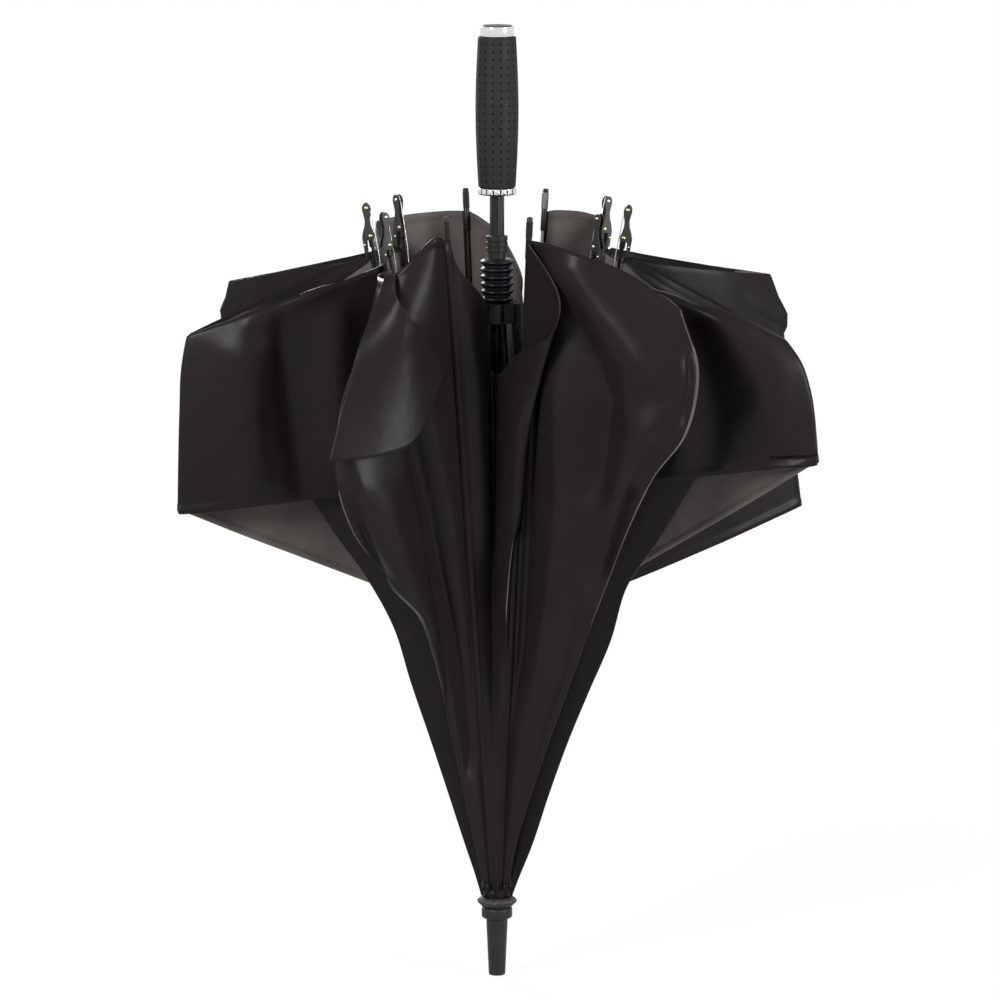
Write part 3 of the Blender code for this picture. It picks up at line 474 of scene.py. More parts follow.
def make_piece(name, vertices, faces, material, smooth_angle=None, closed=True):
    mesh = bpy.data.meshes.new(name)
    mesh.from_pydata([tuple(v) for v in vertices], [], faces)
    if closed:
        work = bmesh.new()
        work.from_mesh(mesh)
        bmesh.ops.recalc_face_normals(work, faces=work.faces)
        work.to_mesh(mesh)
        work.free()
    mesh.shade_smooth()
    if smooth_angle is not None:
        mesh.set_sharp_from_angle(angle=math.radians(smooth_angle))
    mesh.materials.append(material)
    piece = bpy.data.objects.new(name, mesh)
    bpy.context.scene.collection.objects.link(piece)
    return piece


def rib_frame(number):
    """Pivot, direction along the rib, sideways direction and outward normal, from the frame's joints."""
    hinge = JOINTS[f"rib_{number}_hinge"]
    along = np.array(JOINTS[f"gore_{number}a_seam"]["axis"])
    sideways = np.array(hinge["axis"])
    return np.array(hinge["pos_m"]), along, sideways, np.cross(sideways, along)


CROWN_Z = rib_frame(1)[0][2]


def azimuth_of(number):
    _, _, sideways, _ = rib_frame(number)
    return math.degrees(math.atan2(-sideways[0], sideways[1]))


def gore_middle(number):
    """The azimuth of a gore's middle, and the horizontal direction across the gore there."""
    middle = azimuth_of(number) + RIB_STEP / 2
    angle = math.radians(middle)
    return middle, np.array((-math.sin(angle), math.cos(angle), 0.0))


def polar(radius, azimuth, height):
    angle = math.radians(azimuth)
    return np.array((radius * math.cos(angle), radius * math.sin(angle), CROWN_Z + height))


def fold_points(shares, azimuths):
    """Points from a table of radii and heights, all at one azimuth or each at its own."""
    scaled = np.array(shares) / THOUSAND * RIB_LENGTH
    azimuths = np.broadcast_to(azimuths, (len(shares),))
    return [polar(radius, azimuth, height) for (radius, height), azimuth in zip(scaled, azimuths)]


# Cloth

def seam_knots(number, sign, count):
    """The seam on a rib's outer side, moved to the gore's side of the rib."""
    pivot, along, sideways, outward = rib_frame(number)
    end = LEVER_SEAM_END if number in LEVER_RIBS else PLAIN_SEAM_END
    base = polar(CLOTH_BASE_RADIUS, azimuth_of(number), CLOTH_BASE)
    start = pivot + along * SEAM_START + outward * SEAM_LIFT
    finish = pivot + along * end + outward * SEAM_LIFT
    knots = even([base, start, (start + finish) / 2, finish], count)
    share = np.minimum(1, 2 * np.arange(count) / (count - 1))[:, None]
    widening = (ARM_SEAM_GAP - SEAM_GAP) if number in LEVER_RIBS else 0.0
    return knots + sideways * sign * (SEAM_GAP + widening * share)


def layer_knots(number, sign, end, count):
    """The inner edge of a folded-back layer, along the extension arm on a rib."""
    pivot, along, sideways, outward = rib_frame(number)
    lift = outward * ARM_SEAM_LIFT + sideways * sign * SEAM_GAP
    return even([
        pivot + along * LEVER_SEAM_END + lift,
        pivot + along * (LEVER_SEAM_END + end) / 2 + lift,
        pivot + along * end + lift,
    ], count)


def cross_sections(left, fold, right, across, bulge, crest):
    """Nine knots for each row: from the left seam round the rounded fold to the right seam."""
    inward = (left + right) / 2 - fold
    width = np.linalg.norm(inward, axis=1, keepdims=True)
    spread = np.linalg.norm(right - left, axis=1, keepdims=True) / 2
    reach = np.hypot(width, spread)
    bow = np.minimum(bulge, reach * BOW_LIMIT)
    tip = np.minimum(crest, spread * CREST_LIMIT)
    inward = unit(inward - across * (inward @ across)[:, None])
    halves = []
    for end, side in ((left, -across), (right, across)):
        near = end + (fold - end) * NEAR_SHARE + side * bow * NEAR_BOW
        far = end + (fold - end) * FAR_SHARE + side * bow * FAR_BOW
        turn = fold + inward * tip * CREST_DEPTH + side * tip
        halves.append((end, near, far, turn))
    (a, b, c, d), (e, f, g, h) = halves
    return np.stack([a, b, c, d, fold, h, g, f, e], axis=0)


def grid_faces(height, width):
    corners = (i * width + j for i in range(height - 1) for j in range(width - 1))
    return [(k, k + 1, k + width + 1, k + width) for k in corners]


def add_cloth_map(piece, grid):
    """A UV map in metres over the cloth, from its middle column."""
    over = np.stack([lengths_along(grid.transpose(1, 0, 2)).T, lengths_along(grid)], axis=2)
    over[..., 0] -= over[:, grid.shape[1] // 2, 0][:, None]
    mesh = piece.data
    corners = np.zeros(len(mesh.loops), int)
    mesh.loops.foreach_get("vertex_index", corners)
    layer = mesh.uv_layers.new(name="cloth")
    layer.data.foreach_set("uv", over.reshape(-1, 2)[corners].ravel())


def soft_wave(points, size, seed):
    """Smooth noise between about -1 and 1 at each point."""
    shift = Vector([seed * step for step in WAVE_SHIFT])
    values = [noise.noise(Vector(point) / size + shift) for point in points.reshape(-1, 3)]
    return np.array(values).reshape(points.shape[:-1])


def cloth_piece(name, grid, closed=False):
    faces = grid_faces(*grid.shape[:2])
    piece = make_piece(name, grid.reshape(-1, 3), faces, CLOTH, closed=closed)
    add_cloth_map(piece, grid)
    return piece


def thicken(piece, thickness):
    modifier = piece.modifiers.new("thickness", "SOLIDIFY")
    modifier.thickness = thickness
    modifier.offset = 0.0
    return modifier


def thick_cloth(piece, grid):
    """Gives the cloth its thickness, more along the turned hem."""
    group = piece.vertex_groups.new(name="hem")
    for index, distance in enumerate(lengths_along(grid[::-1])[::-1].ravel()):
        group.add([index], 1.0 if distance < HEM_WIDTH else 0.0, "REPLACE")
    modifier = thicken(piece, HEM_THICKNESS)
    modifier.thickness_vertex_group = CLOTH_THICKNESS / HEM_THICKNESS
    modifier.vertex_group = "hem"
    modifier.use_quality_normals = True
    modifier.material_offset = 1


def with_hem_rows(grid):
    """Adds rows close to the last one, so that the hem ends in a step."""
    back = grid[::-1]
    lengths = lengths_along(back)
    kept = [row for row, reached in zip(back, lengths) if reached.mean() > 2 * HEM_WIDTH]
    extra = [
        [
            [np.interp(HEM_WIDTH * share, lengths[:, j], back[:, j, axis]) for axis in range(3)]
            for j in range(grid.shape[1])
        ]
        for share in HEM_ROW_SHARES
    ]
    return np.array(extra + kept)[::-1]


def outward_normals(grid):
    """The cloth's normal at each point, away from the umbrella where its rows run upwards."""
    return unit(np.cross(np.gradient(grid, axis=1), np.gradient(grid, axis=0)) + NOT_ZERO)


def fold_rise(points, path, left_width, right_width, rise):
    """How far a soft fold along a path lifts each point, both seen from the front."""
    flat = points[..., (0, 2)]
    lengths = lengths_along(path)
    nearest = np.full(flat.shape[:-1], np.inf)
    side, place = np.zeros(nearest.shape), np.zeros(nearest.shape)
    for k in range(len(path) - 1):
        step = path[k + 1] - path[k]
        share = np.clip((flat - path[k]) @ step / (step @ step), 0, 1)
        away = flat - (path[k] + share[..., None] * step)
        distance = np.linalg.norm(away, axis=-1)
        closer = distance < nearest
        nearest = np.where(closer, distance, nearest)
        side = np.where(closer, step[0] * away[..., 1] - step[1] * away[..., 0], side)
        reached = lengths[k] + share * (lengths[k + 1] - lengths[k])
        place = np.where(closer, reached / lengths[-1], place)
    width = np.where(side > 0, right_width, left_width)
    ends = np.clip(place / FOLD_END, 0, 1) * np.clip((1 - place) / FOLD_END, 0, 1)
    return rise * np.exp(-(nearest / width) ** 2) * (3 - 2 * ends) * ends ** 2


def pressed(grid, folds, half, plane, direction=1.0):
    """The same cloth with soft folds in its halves, none of them deeper than the fold's mid-plane."""
    across = np.linspace(0, 1, grid.shape[1])
    mask = np.clip(across / SEAM_FADE, 0, 1) * np.clip((1 - across) / SEAM_FADE, 0, 1)
    mask *= np.clip(np.abs(across - 0.5) / FOLD_FADE, 0, 1)
    if half == "a":
        mask[across > 0.5] = 0
    if half == "b":
        mask[across < 0.5] = 0
    normals = outward_normals(grid)
    total = np.zeros(grid.shape[:2])
    for path, *sizes in folds:
        total += fold_rise(grid, np.array(path) / THOUSAND, *(np.array(sizes) / THOUSAND))
    room = np.abs((grid - grid[:, grid.shape[1] // 2][:, None]) @ plane)
    total = np.maximum(total, -ROOM_SHARE * room)
    return grid + normals * (direction * total * mask)[..., None]


def build_gather(name, grid):
    """A cloth's lower end at the crown, as a piece of its own that stays there."""
    piece = cloth_piece(name, grid)
    thicken(piece, CLOTH_THICKNESS)
    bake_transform(piece)
    return piece


def slackened(grid, across, seed):
    """The same cloth with its slack: long soft folds down the panel and fainter ones across it."""
    height = np.clip((grid[..., 2] - CROWN_Z) / RIB_LENGTH, 0, 1)
    share = np.linspace(0, 1, grid.shape[1])
    free = np.sin(math.pi * share) ** 0.5 * (1 - CALM * np.exp(-((share - 0.5) / CALM_WIDTH) ** 2))
    amount = soft_wave(grid * np.array(LONG_WAVE_SQUEEZE), LONG_WAVE, seed) * LONG_WAVE_RISE
    amount += soft_wave(grid, SHORT_WAVE, seed + SHORT_WAVE_SEED) * SHORT_WAVE_RISE
    return grid + across * (amount * height * free)[..., None]


def build_gore(number, gore):
    """One gore as one cloth from rib to rib, over its fold, with its folded-back layer."""
    following = number % RIB_COUNT + 1
    middle, across = gore_middle(number)
    lean = gore.get("lean", 0.0)
    azimuths = [middle + lean * (height / THOUSAND) for _, height in gore["fold"]]
    left = seam_knots(number, 1, MAIN_KNOTS)
    right = seam_knots(following, -1, MAIN_KNOTS)
    base = polar(CLOTH_BASE_RADIUS, middle, CLOTH_BASE)
    fold = even([base, *fold_points(gore["fold"], azimuths)], MAIN_KNOTS)
    grow = np.linspace(0, 1, MAIN_KNOTS)[:, None]
    bulge = gore.get("bulge", PLAIN_BULGE) * grow
    knots = cross_sections(left, fold, right, across, bulge, CREST_RADIUS)
    near_hem = (grow[:, 0] ** HEM_REACH)[None, :]
    hem = np.array(gore.get("hem", (0,) * len(knots))) / THOUSAND
    knots[..., 2] += hem[:, None] * RIB_LENGTH * near_hem
    if "hem_line" in gore:
        slack = np.array(gore["hem_line"]) / THOUSAND - knots[1:-1, -1]
        knots[1:-1] += slack[:, None, :] * near_hem[..., None]
    fine = gore.get("fine", 1)
    steps = [MAIN_STEPS * (1 + fine) // 2] * (MAIN_KNOTS - 1)
    main_rows = sum(steps)
    if "layer" in gore:
        left_end, right_end = gore.get("ends", (ARM_END_ALONG_RIB, ARM_END_ALONG_RIB))
        layer = cross_sections(
            layer_knots(number, 1, left_end, LAYER_KNOTS),
            even(fold_points(gore["layer"], middle), LAYER_KNOTS),
            layer_knots(following, -1, right_end, LAYER_KNOTS),
            across, LAYER_BULGE, LAYER_CREST_RADIUS,
        )
        top = (knots[:, -1:] + layer[:, :1]) / 2 + np.array((0, 0, TURN_RISE))
        knots = np.concatenate([knots, top, layer], axis=1)
        steps += [TURN_STEPS] * 2 + [LAYER_STEPS * (1 + fine) // 2] * (LAYER_KNOTS - 1)
    columns = [fine * count for count in (*PANEL_STEPS, *reversed(PANEL_STEPS))]
    grid = with_hem_rows(surface(knots, steps, columns))
    if "folds" in gore:
        grid = pressed(grid, gore["folds"], gore["half"], across)
    if "layer_folds" in gore:
        folded_back = grid[main_rows + TURN_STEPS:]
        folded_back[:] = pressed(folded_back, gore["layer_folds"], gore["half"], across, direction=-1.0)
    grid = slackened(grid, across, number)

    rows = len(grid)
    low = int(np.argmax(grid[..., 2].mean(axis=1) > CROWN_Z + GATHER_TOP))
    centre_column = grid.shape[1] // 2
    gathers = [
        build_gather(f"gore_gather_{number}a", grid[:low + 1, :centre_column + 1]),
        build_gather(f"gore_gather_{number}b", grid[:low + 1, centre_column:]),
    ]
    grid = grid[low:]
    main_rows -= low
    piece = cloth_piece(f"gore_cloth_{number}", grid)
    piece.data.materials.append(LINING)
    piece.data.materials.append(CLOTH)
    wide = grid.shape[1] - 1
    if "layer" in gore:
        for polygon in piece.data.polygons[main_rows * wide:]:
            polygon.material_index = 2 if polygon.index < (main_rows + 2 * TURN_STEPS) * wide else 1
    # The folded-over slack shows its inside face; there it gets the dark outer cloth on both faces, painted shade.
    if "hem_line" in gore:
        for polygon in piece.data.polygons:
            row, column = divmod(polygon.index, wide)
            if column > wide * PAINTED_SHADE_SIDE and row + low > rows * PAINTED_SHADE_TOP:
                polygon.material_index = 2
    thick_cloth(piece, grid)
    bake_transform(piece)
    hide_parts(f"canopy_gore_{number}a", f"canopy_gore_{number}b")


def build_lapel():
    """The corner of gore 7 that has turned outwards and hangs over its right half."""
    middle, across = gore_middle(LAPEL_GORE)
    outer = even(fold_points(FLAP_EDGE, middle), LAYER_KNOTS)
    outer += across * LAPEL_CREASE * np.linspace(LAPEL_CREASE_START, 1, LAYER_KNOTS)[:, None]
    inner = even(fold_points(FLAP_HEM, FLAP_HEM_AZIMUTHS), LAYER_KNOTS)
    inner[:, 1] -= np.linspace(0, LAPEL_LIFT, LAYER_KNOTS)
    grow = np.linspace(0, 1, LAYER_KNOTS)[:, None]
    down = np.array((0.0, 0.0, -1.0))
    knots = []
    for share, bow, drop in LAPEL_SECTION_SHARES:
        bulge = across * (bow * LAPEL_BULGE) * grow
        knots.append(outer + (inner - outer) * share + bulge + down * drop * LAPEL_DROP * grow ** 2)
    grid = surface(np.array(knots), [2 * LAYER_STEPS] * (LAYER_KNOTS - 1), LAPEL_STEPS)[::-1]
    piece = cloth_piece("gore_cloth_7_lapel", grid)
    piece.data.materials.append(LINING)
    thick_cloth(piece, grid)
    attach(piece, "gore_7b")


# Materials

def new_material(name):
    material = bpy.data.materials.new(name)
    material.use_nodes = True
    return material, material.node_tree, material.node_tree.nodes["Principled BSDF"]


def feed(tree, node, inputs):
    """Gives each named input of a node another node's output or a constant."""
    for name, value in inputs.items():
        if isinstance(value, bpy.types.NodeSocket):
            tree.links.new(value, node.inputs[name])
        else:
            node.inputs[name].default_value = value
    return node


def math_of(tree, operation, *values, kind="Math", output="Value"):
    node = tree.nodes.new(f"ShaderNode{kind}")
    node.operation = operation
    return feed(tree, node, dict(enumerate(values))).outputs[output]


def ramp(tree, value, low, high, start=0.0, end=1.0):
    return feed(tree, tree.nodes.new("ShaderNodeMapRange"), {
        "Value": value, "From Min": start, "From Max": end, "To Min": low, "To Max": high,
    }).outputs["Result"]


def mix_colour(tree, factor, first, second):
    node = tree.nodes.new("ShaderNodeMix")
    node.data_type = "RGBA"
    inputs = {"Factor": factor, "A": (*first, 1), "B": (*second, 1)}
    return feed(tree, node, inputs).outputs["Result"]


def speckle(tree, place, scale, detail):
    node = tree.nodes.new("ShaderNodeTexNoise")
    return feed(tree, node, {"Vector": place, "Scale": scale, "Detail": detail}).outputs["Fac"]


def relief(tree, height, distance, strength, under=None):
    inputs = {"Height": height, "Distance": distance, "Strength": strength}
    if under is not None:
        inputs["Normal"] = under
    return feed(tree, tree.nodes.new("ShaderNodeBump"), inputs).outputs["Normal"]


def cloth_material(name, dark, light, roughness, gloss, sheen, weave_depth):
    material, tree, shader = new_material(name)
    coordinates = tree.nodes.new("ShaderNodeUVMap")
    coordinates.uv_map = "cloth"
    place = coordinates.outputs["UV"]
    grain = speckle(tree, place, WEAVE_SCALE, WEAVE_DETAIL)
    broad = ramp(tree, speckle(tree, place, PATCH_SCALE, WEAVE_DETAIL), 0.0, PATCH_SHARE, *RAMP_RANGE)
    tone = math_of(tree, "MULTIPLY_ADD", grain, WEAVE_SHARE, broad)
    fine = relief(tree, grain, weave_depth, WEAVE_STRENGTH)
    crinkle = speckle(tree, place, CRINKLE_SCALE, CRINKLE_DETAIL)
    feed(tree, shader, {
        "Base Color": mix_colour(tree, tone, dark, light),
        "Roughness": roughness, "Specular IOR Level": gloss,
        "Sheen Weight": sheen, "Sheen Roughness": SHEEN_ROUGHNESS, "Sheen Tint": SHEEN_TINT,
        "Normal": relief(tree, crinkle, CRINKLE_DEPTH, CRINKLE_STRENGTH, fine),
    })
    return material


def plain_material(
    name, colour, roughness, metallic=0.0, grain=0.0, scale=400.0, variation=0.25, gloss=0.5,
):
    """A moulded, painted or plated surface with fine grain and a little unevenness in its gloss."""
    material, tree, shader = new_material(name)
    place = tree.nodes.new("ShaderNodeTexCoord").outputs["Object"]
    wide = speckle(tree, place, SURFACE_SCALE, SURFACE_DETAIL)
    light = tuple(min(1.0, c * (1 + variation)) for c in colour)
    dark = tuple(c * (1 - variation) for c in colour)
    low, high = roughness * (1 - GLOSS_SPREAD), min(1.0, roughness * (1 + GLOSS_SPREAD))
    feed(tree, shader, {
        "Base Color": mix_colour(tree, wide, dark, light),
        "Roughness": ramp(tree, wide, low, high, *RAMP_RANGE),
        "Metallic": metallic, "Specular IOR Level": gloss,
    })
    if grain:
        fine = speckle(tree, place, scale, GRAIN_DETAIL)
        feed(tree, shader, {"Normal": relief(tree, fine, grain, GRAIN_STRENGTH)})
    return material


CLOTH = cloth_material(
    "umbrella_cloth", dark=(0.0070, 0.0058, 0.0055), light=(0.0125, 0.0103, 0.0098),
    roughness=0.33, gloss=0.075, sheen=0.0, weave_depth=0.00006,
)
LINING = cloth_material(
    "umbrella_cloth_inside", dark=(0.030, 0.0250, 0.0235), light=(0.130, 0.114, 0.107),
    roughness=0.55, gloss=0.08, sheen=0.05, weave_depth=0.00025,
)
CLOTH_PLAIN = plain_material(
    "gathered_cloth", (0.0060, 0.0052, 0.0050), roughness=0.55, grain=0.00012, scale=1500.0,
)
GRIP = plain_material(
    "grip_rubber", (0.0155, 0.0150, 0.0148), roughness=0.62, grain=0.00008, scale=1600.0, gloss=0.10,
)
# A near-black material for painted shade in the grip's dimples and the lower ring's flute valleys.
PAINTED_RECESS_SHADE = plain_material("grip_dot", (0.004, 0.004, 0.004), roughness=0.70, gloss=0.02)
GLOSS_BLACK = plain_material("black_lacquer", (0.006, 0.006, 0.007), roughness=0.30, gloss=0.22)
BLACK_PLASTIC = plain_material(
    "black_moulding", (0.0095, 0.0088, 0.0085), roughness=0.42, grain=0.00004, scale=900.0, gloss=0.22,
)
BELLOWS_BLACK = plain_material("bellows_rubber", (0.004, 0.004, 0.006), roughness=0.30, gloss=0.16)
CHROME = plain_material(
    "chrome_plate", (0.70, 0.70, 0.71), roughness=0.10, metallic=1.0, variation=0.05,
)
LEVER_STEEL = plain_material(
    "lever_steel", (0.022, 0.022, 0.023), roughness=0.42, metallic=0.3,
    grain=0.00003, scale=1200.0, gloss=0.35,
)
BRASS = plain_material("rivet_brass", (0.55, 0.44, 0.26), roughness=0.28, metallic=1.0)
WIRE_STEEL = plain_material(
    "wire_steel", (0.50, 0.50, 0.49), roughness=0.34, metallic=1.0, variation=0.08,
)

SLOT_LOOKS = {
    "grip_rubber": GRIP, "black_metal": GLOSS_BLACK, "black_plastic": BLACK_PLASTIC,
    "chrome": CHROME, "lever_metal": LEVER_STEEL, "cloth": CLOTH,
}


def dress_nodes():
    """Gives every node of the frame the look of its material slot."""
    for entry in frame["record"]["subparts"]:
        node = frame["nodes"][entry["node"]]
        node.data.materials.clear()
        node.data.materials.append(SLOT_LOOKS[entry["material_slot"]])


# Seams over the ribs

def build_rib_cover(number):
    """The sewn strip of canopy that runs over a rib and joins its two gores."""
    _, _, sideways, outward = rib_frame(number)
    left = seam_knots(number, -1, COVER_ROWS)
    right = seam_knots(number, 1, COVER_ROWS)
    near_crown = (1 - np.linspace(0, 1, COVER_ROWS)[:, None]) ** COVER_FADE
    overlap = COVER_OVERLAP + COVER_CROWN_OVERLAP * near_crown
    rows = []
    for step in range(COVER_COLUMNS + 1):
        share = step / COVER_COLUMNS
        rise = math.sin(math.pi * share) * COVER_RISE
        spread = overlap * (2 * share - 1)
        rows.append(left + (right - left) * share + outward * rise + sideways * spread)
    grid = np.array(rows).transpose(1, 0, 2)
    gather = build_gather(f"seam_gather_{number}", grid[:COVER_FIRST_ROW + 1])
    piece = cloth_piece(f"seam_cover_{number}", grid[COVER_FIRST_ROW:], closed=True)
    thicken(piece, CLOTH_THICKNESS)
    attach(piece, f"rib_{number}")


def build_rib_cap(number):
    """The straight black cap over the end of a plain rib."""
    pivot, along, _, _ = rib_frame(number)
    rounding = CAP_RADIUS / 3
    ends = (
        (CAP_START, CAP_START_SHARE), (CAP_START + rounding, 1.0),
        (CAP_END - rounding, 1.0), (CAP_END, CAP_END_SHARE),
    )
    shape = rod_mesh(
        [pivot + along * at for at, _ in ends], [CAP_RADIUS * share for _, share in ends], CAP_SIDES,
    )
    cap = make_piece(f"rib_cap_{number}", *shape, BLACK_PLASTIC, smooth_angle=40.0)
    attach(cap, f"rib_{number}")


# Turned pieces

def arc(centre, radius, start, end, count=ROUNDING_POINTS):
    """Points of an arc in the (radius, z) plane; angles in degrees."""
    angles = [math.radians(start + (end - start) * k / (count - 1)) for k in range(count)]
    return [(centre[0] + radius * math.cos(a), centre[1] + radius * math.sin(a)) for a in angles]


def around(sides):
    return [2 * math.pi * k / sides for k in range(sides)]


def ring_faces(rings, sides, closed=False):
    """Faces between rings of points, each of them closed; closed joins the last ring to the first."""
    faces = []
    for ring in range(rings if closed else rings - 1):
        near, far = ring * sides, (ring + 1) % rings * sides
        for k in range(sides):
            after = (k + 1) % sides
            faces.append((near + k, near + after, far + after, far + k))
    return faces


def turned(name, outline, material, body, replaced, angles=None, shape=None, smooth_angle=32.0):
    """Turns a closed outline of (radius, z) points; shape(angle, radius, z) moves a point outwards."""
    angles = angles or around(TURNED_SIDES)
    vertices = []
    for angle in angles:
        for radius, z in outline:
            reach = radius + (shape(angle, radius, z) if shape else 0.0)
            vertices.append((reach * math.cos(angle), reach * math.sin(angle), z))
    faces = ring_faces(len(angles), len(outline), closed=True)
    piece = make_piece(name, vertices, faces, material, smooth_angle)
    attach(piece, body)
    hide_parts(replaced)
    return piece


def reach_of(node):
    """A turned node's outer radius, its top and its bottom."""
    low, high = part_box(node)
    return high[0], high[2], low[2]


def build_grip():
    """The soft grip: a bellied handle with rows of small round dimples, with painted shade in them."""
    _, top, bottom = reach_of("handle_grip")
    upper, lower = top - GRIP_ROUNDING, bottom + GRIP_ROUNDING
    rim = [DOT_RADIUS * share for share in DOT_RIM_SHARES]
    middle = (top + bottom) / 2
    heights = [
        (middle + (row - (DOT_ROWS - 1) / 2) * DOT_PITCH + shift, k)
        for row in range(DOT_ROWS) for k, shift in enumerate(rim)
    ]
    heights += [(middle + (row - DOT_ROWS / 2) * DOT_PITCH, -1) for row in range(DOT_ROWS + 1)]
    heights = sorted(heights, reverse=True)
    depth_rows = {round(z, MATCH_DIGITS): k for z, k in heights}

    def radius_at(z):
        share = (upper - z) / (top - bottom - 2 * GRIP_ROUNDING)
        ends = GRIP_TOP_RADIUS + (GRIP_BOTTOM_RADIUS - GRIP_TOP_RADIUS) * share
        belly = GRIP_BELLY - (GRIP_TOP_RADIUS + GRIP_BOTTOM_RADIUS) / 2
        return ends + belly * math.sin(math.pi * share)

    outline = [(BORE, top)]
    outline += arc((GRIP_TOP_RADIUS - GRIP_ROUNDING, upper), GRIP_ROUNDING, 90, 0)
    outline += [(radius_at(z), z) for z, _ in heights if lower < z < upper]
    outline += arc((GRIP_BOTTOM_RADIUS - GRIP_ROUNDING, lower), GRIP_ROUNDING, 0, -90)
    outline.append((BORE, bottom))
    angles, columns = [], {}
    for column in range(DOT_COLUMNS):
        centre = 2 * math.pi * (column + 0.5) / DOT_COLUMNS
        for k, shift in enumerate(rim):
            angle = centre + shift / GRIP_BELLY
            columns[round(angle, MATCH_DIGITS)] = k
            angles.append(angle)
        angles.append(centre + math.pi / DOT_COLUMNS)

    def dimple(angle, radius, z):
        row = depth_rows.get(round(z, MATCH_DIGITS), -1)
        column = columns.get(round(angle, MATCH_DIGITS), -1)
        inside = 0 < row < len(rim) - 1 and 0 < column < len(rim) - 1
        return -DOT_DEPTH if inside and radius > GRIP_BOTTOM_RADIUS * GRIP_SKIN_SHARE else 0.0

    cover = turned(
        "grip_cover", outline, GRIP, "shaft", "handle_grip", angles=angles, shape=dimple, smooth_angle=40.0,
    )
    # Faces inside the dimples get the near-black material: painted shade in the dimples.
    cover.data.materials.append(PAINTED_RECESS_SHADE)
    for polygon in cover.data.polygons:
        corners = [cover.data.vertices[k].co for k in polygon.vertices]
        low = sum(math.hypot(x, y) < radius_at(z) - DOT_DEPTH / 2 for x, y, z in corners)
        if low > 1 and all(lower < z < upper for _, _, z in corners):
            polygon.material_index = 1


def build_rings():
    """The bright rings at both ends of the grip, the lower one with painted shade in its flute valleys."""
    radius, top, bottom = reach_of("handle_end_ring")
    edge, inner = END_RING_EDGE, radius - END_RING_WALL
    turned("end_ring", [
        (inner, top), *arc((radius - edge, top - edge), edge, 90, 0),
        (radius, bottom + edge), (radius - edge / 3, bottom), (inner, bottom),
    ], CHROME, "shaft", "handle_end_ring")
    radius, top, bottom = reach_of("handle_lower_ring")
    edge, middle = LOWER_RING_EDGE, (top + bottom) / 2

    def flute(angle, at, z):
        near = max(0.0, 1 - abs(z - middle) / (top - middle))
        wave = RING_FLUTE_DEPTH * math.cos(RING_FLUTES * angle) * near
        return wave if at > radius * RING_SKIN_SHARE else 0.0

    ring = turned("lower_ring", [
        (BORE, top), *arc((radius - edge, top - edge), edge, 90, 0),
        (radius, middle), *arc((radius - edge, bottom + edge), edge, 0, -90), (BORE, bottom),
    ], CHROME, "shaft", "handle_lower_ring", angles=around(RING_SIDES), shape=flute)
    # The lower ring's flute valleys get the near-black material: painted shade.
    ring.data.materials.append(PAINTED_RECESS_SHADE)
    for polygon in ring.data.polygons:
        x, y, z = polygon.center
        outside = math.hypot(x, y) > radius * RING_SKIN_SHARE
        if outside and math.cos(RING_FLUTES * math.atan2(y, x)) < RING_SHADE_LIMIT and z < top - edge / 2:
            polygon.material_index = 1


def build_shaft():
    radius, top, bottom = reach_of("shaft_tube")
    inner = radius - SHAFT_SKIN
    turned(
        "shaft_cover", [(radius, top), (radius, bottom), (inner, bottom), (inner, top)],
        GLOSS_BLACK, "shaft", "shaft_tube",
        shape=lambda angle, at, z: SHAFT_FLUTE_DEPTH * (math.cos(SHAFT_FLUTES * angle) - 1),
    )


def build_runner():
    """The runner's ringed collar and its finned grip; its spider is the frame's own node."""
    radius, top, bottom = reach_of("runner_sleeve")
    bore = SHAFT_RADIUS + RUNNER_GAP
    wall = bore + RUNNER_WALL
    pitch = COLLAR_HEIGHT / COLLAR_RINGS
    rounding = pitch * COLLAR_RING_SHARE
    outline = [(bore, top)]
    for ring in range(COLLAR_RINGS):
        centre = (radius - rounding * COLLAR_RING_SET_BACK, top - (ring + 0.5) * pitch)
        outline += arc(centre, rounding, COLLAR_ARC, -COLLAR_ARC, COLLAR_ARC_POINTS)
    outline += [(wall, top - COLLAR_HEIGHT), (wall, bottom), (bore, bottom)]
    outline = [(min(r, radius), z) for r, z in outline]
    turned("runner_collar", outline, BLACK_PLASTIC, "runner", "runner_sleeve")
    radius, top, bottom = reach_of("runner_grip")
    hole = wall + BELLOWS_GAP
    pitch = (top - bottom) / BELLOWS_FINS
    root, rounding = pitch * FIN_ROOT_SHARE, pitch * FIN_TIP_SHARE
    outline = [(hole, top)]
    for fin in range(BELLOWS_FINS):
        centre = top - (fin + 0.5) * pitch
        outline.append((FIN_ROOT, centre + root))
        outline += arc((radius - rounding, centre), rounding, FIN_ARC, -FIN_ARC, FIN_ARC_POINTS)
        outline.append((FIN_ROOT, centre - root))
    outline.append((hole, bottom))
    turned("runner_bellows", outline, BELLOWS_BLACK, "runner", "runner_grip")


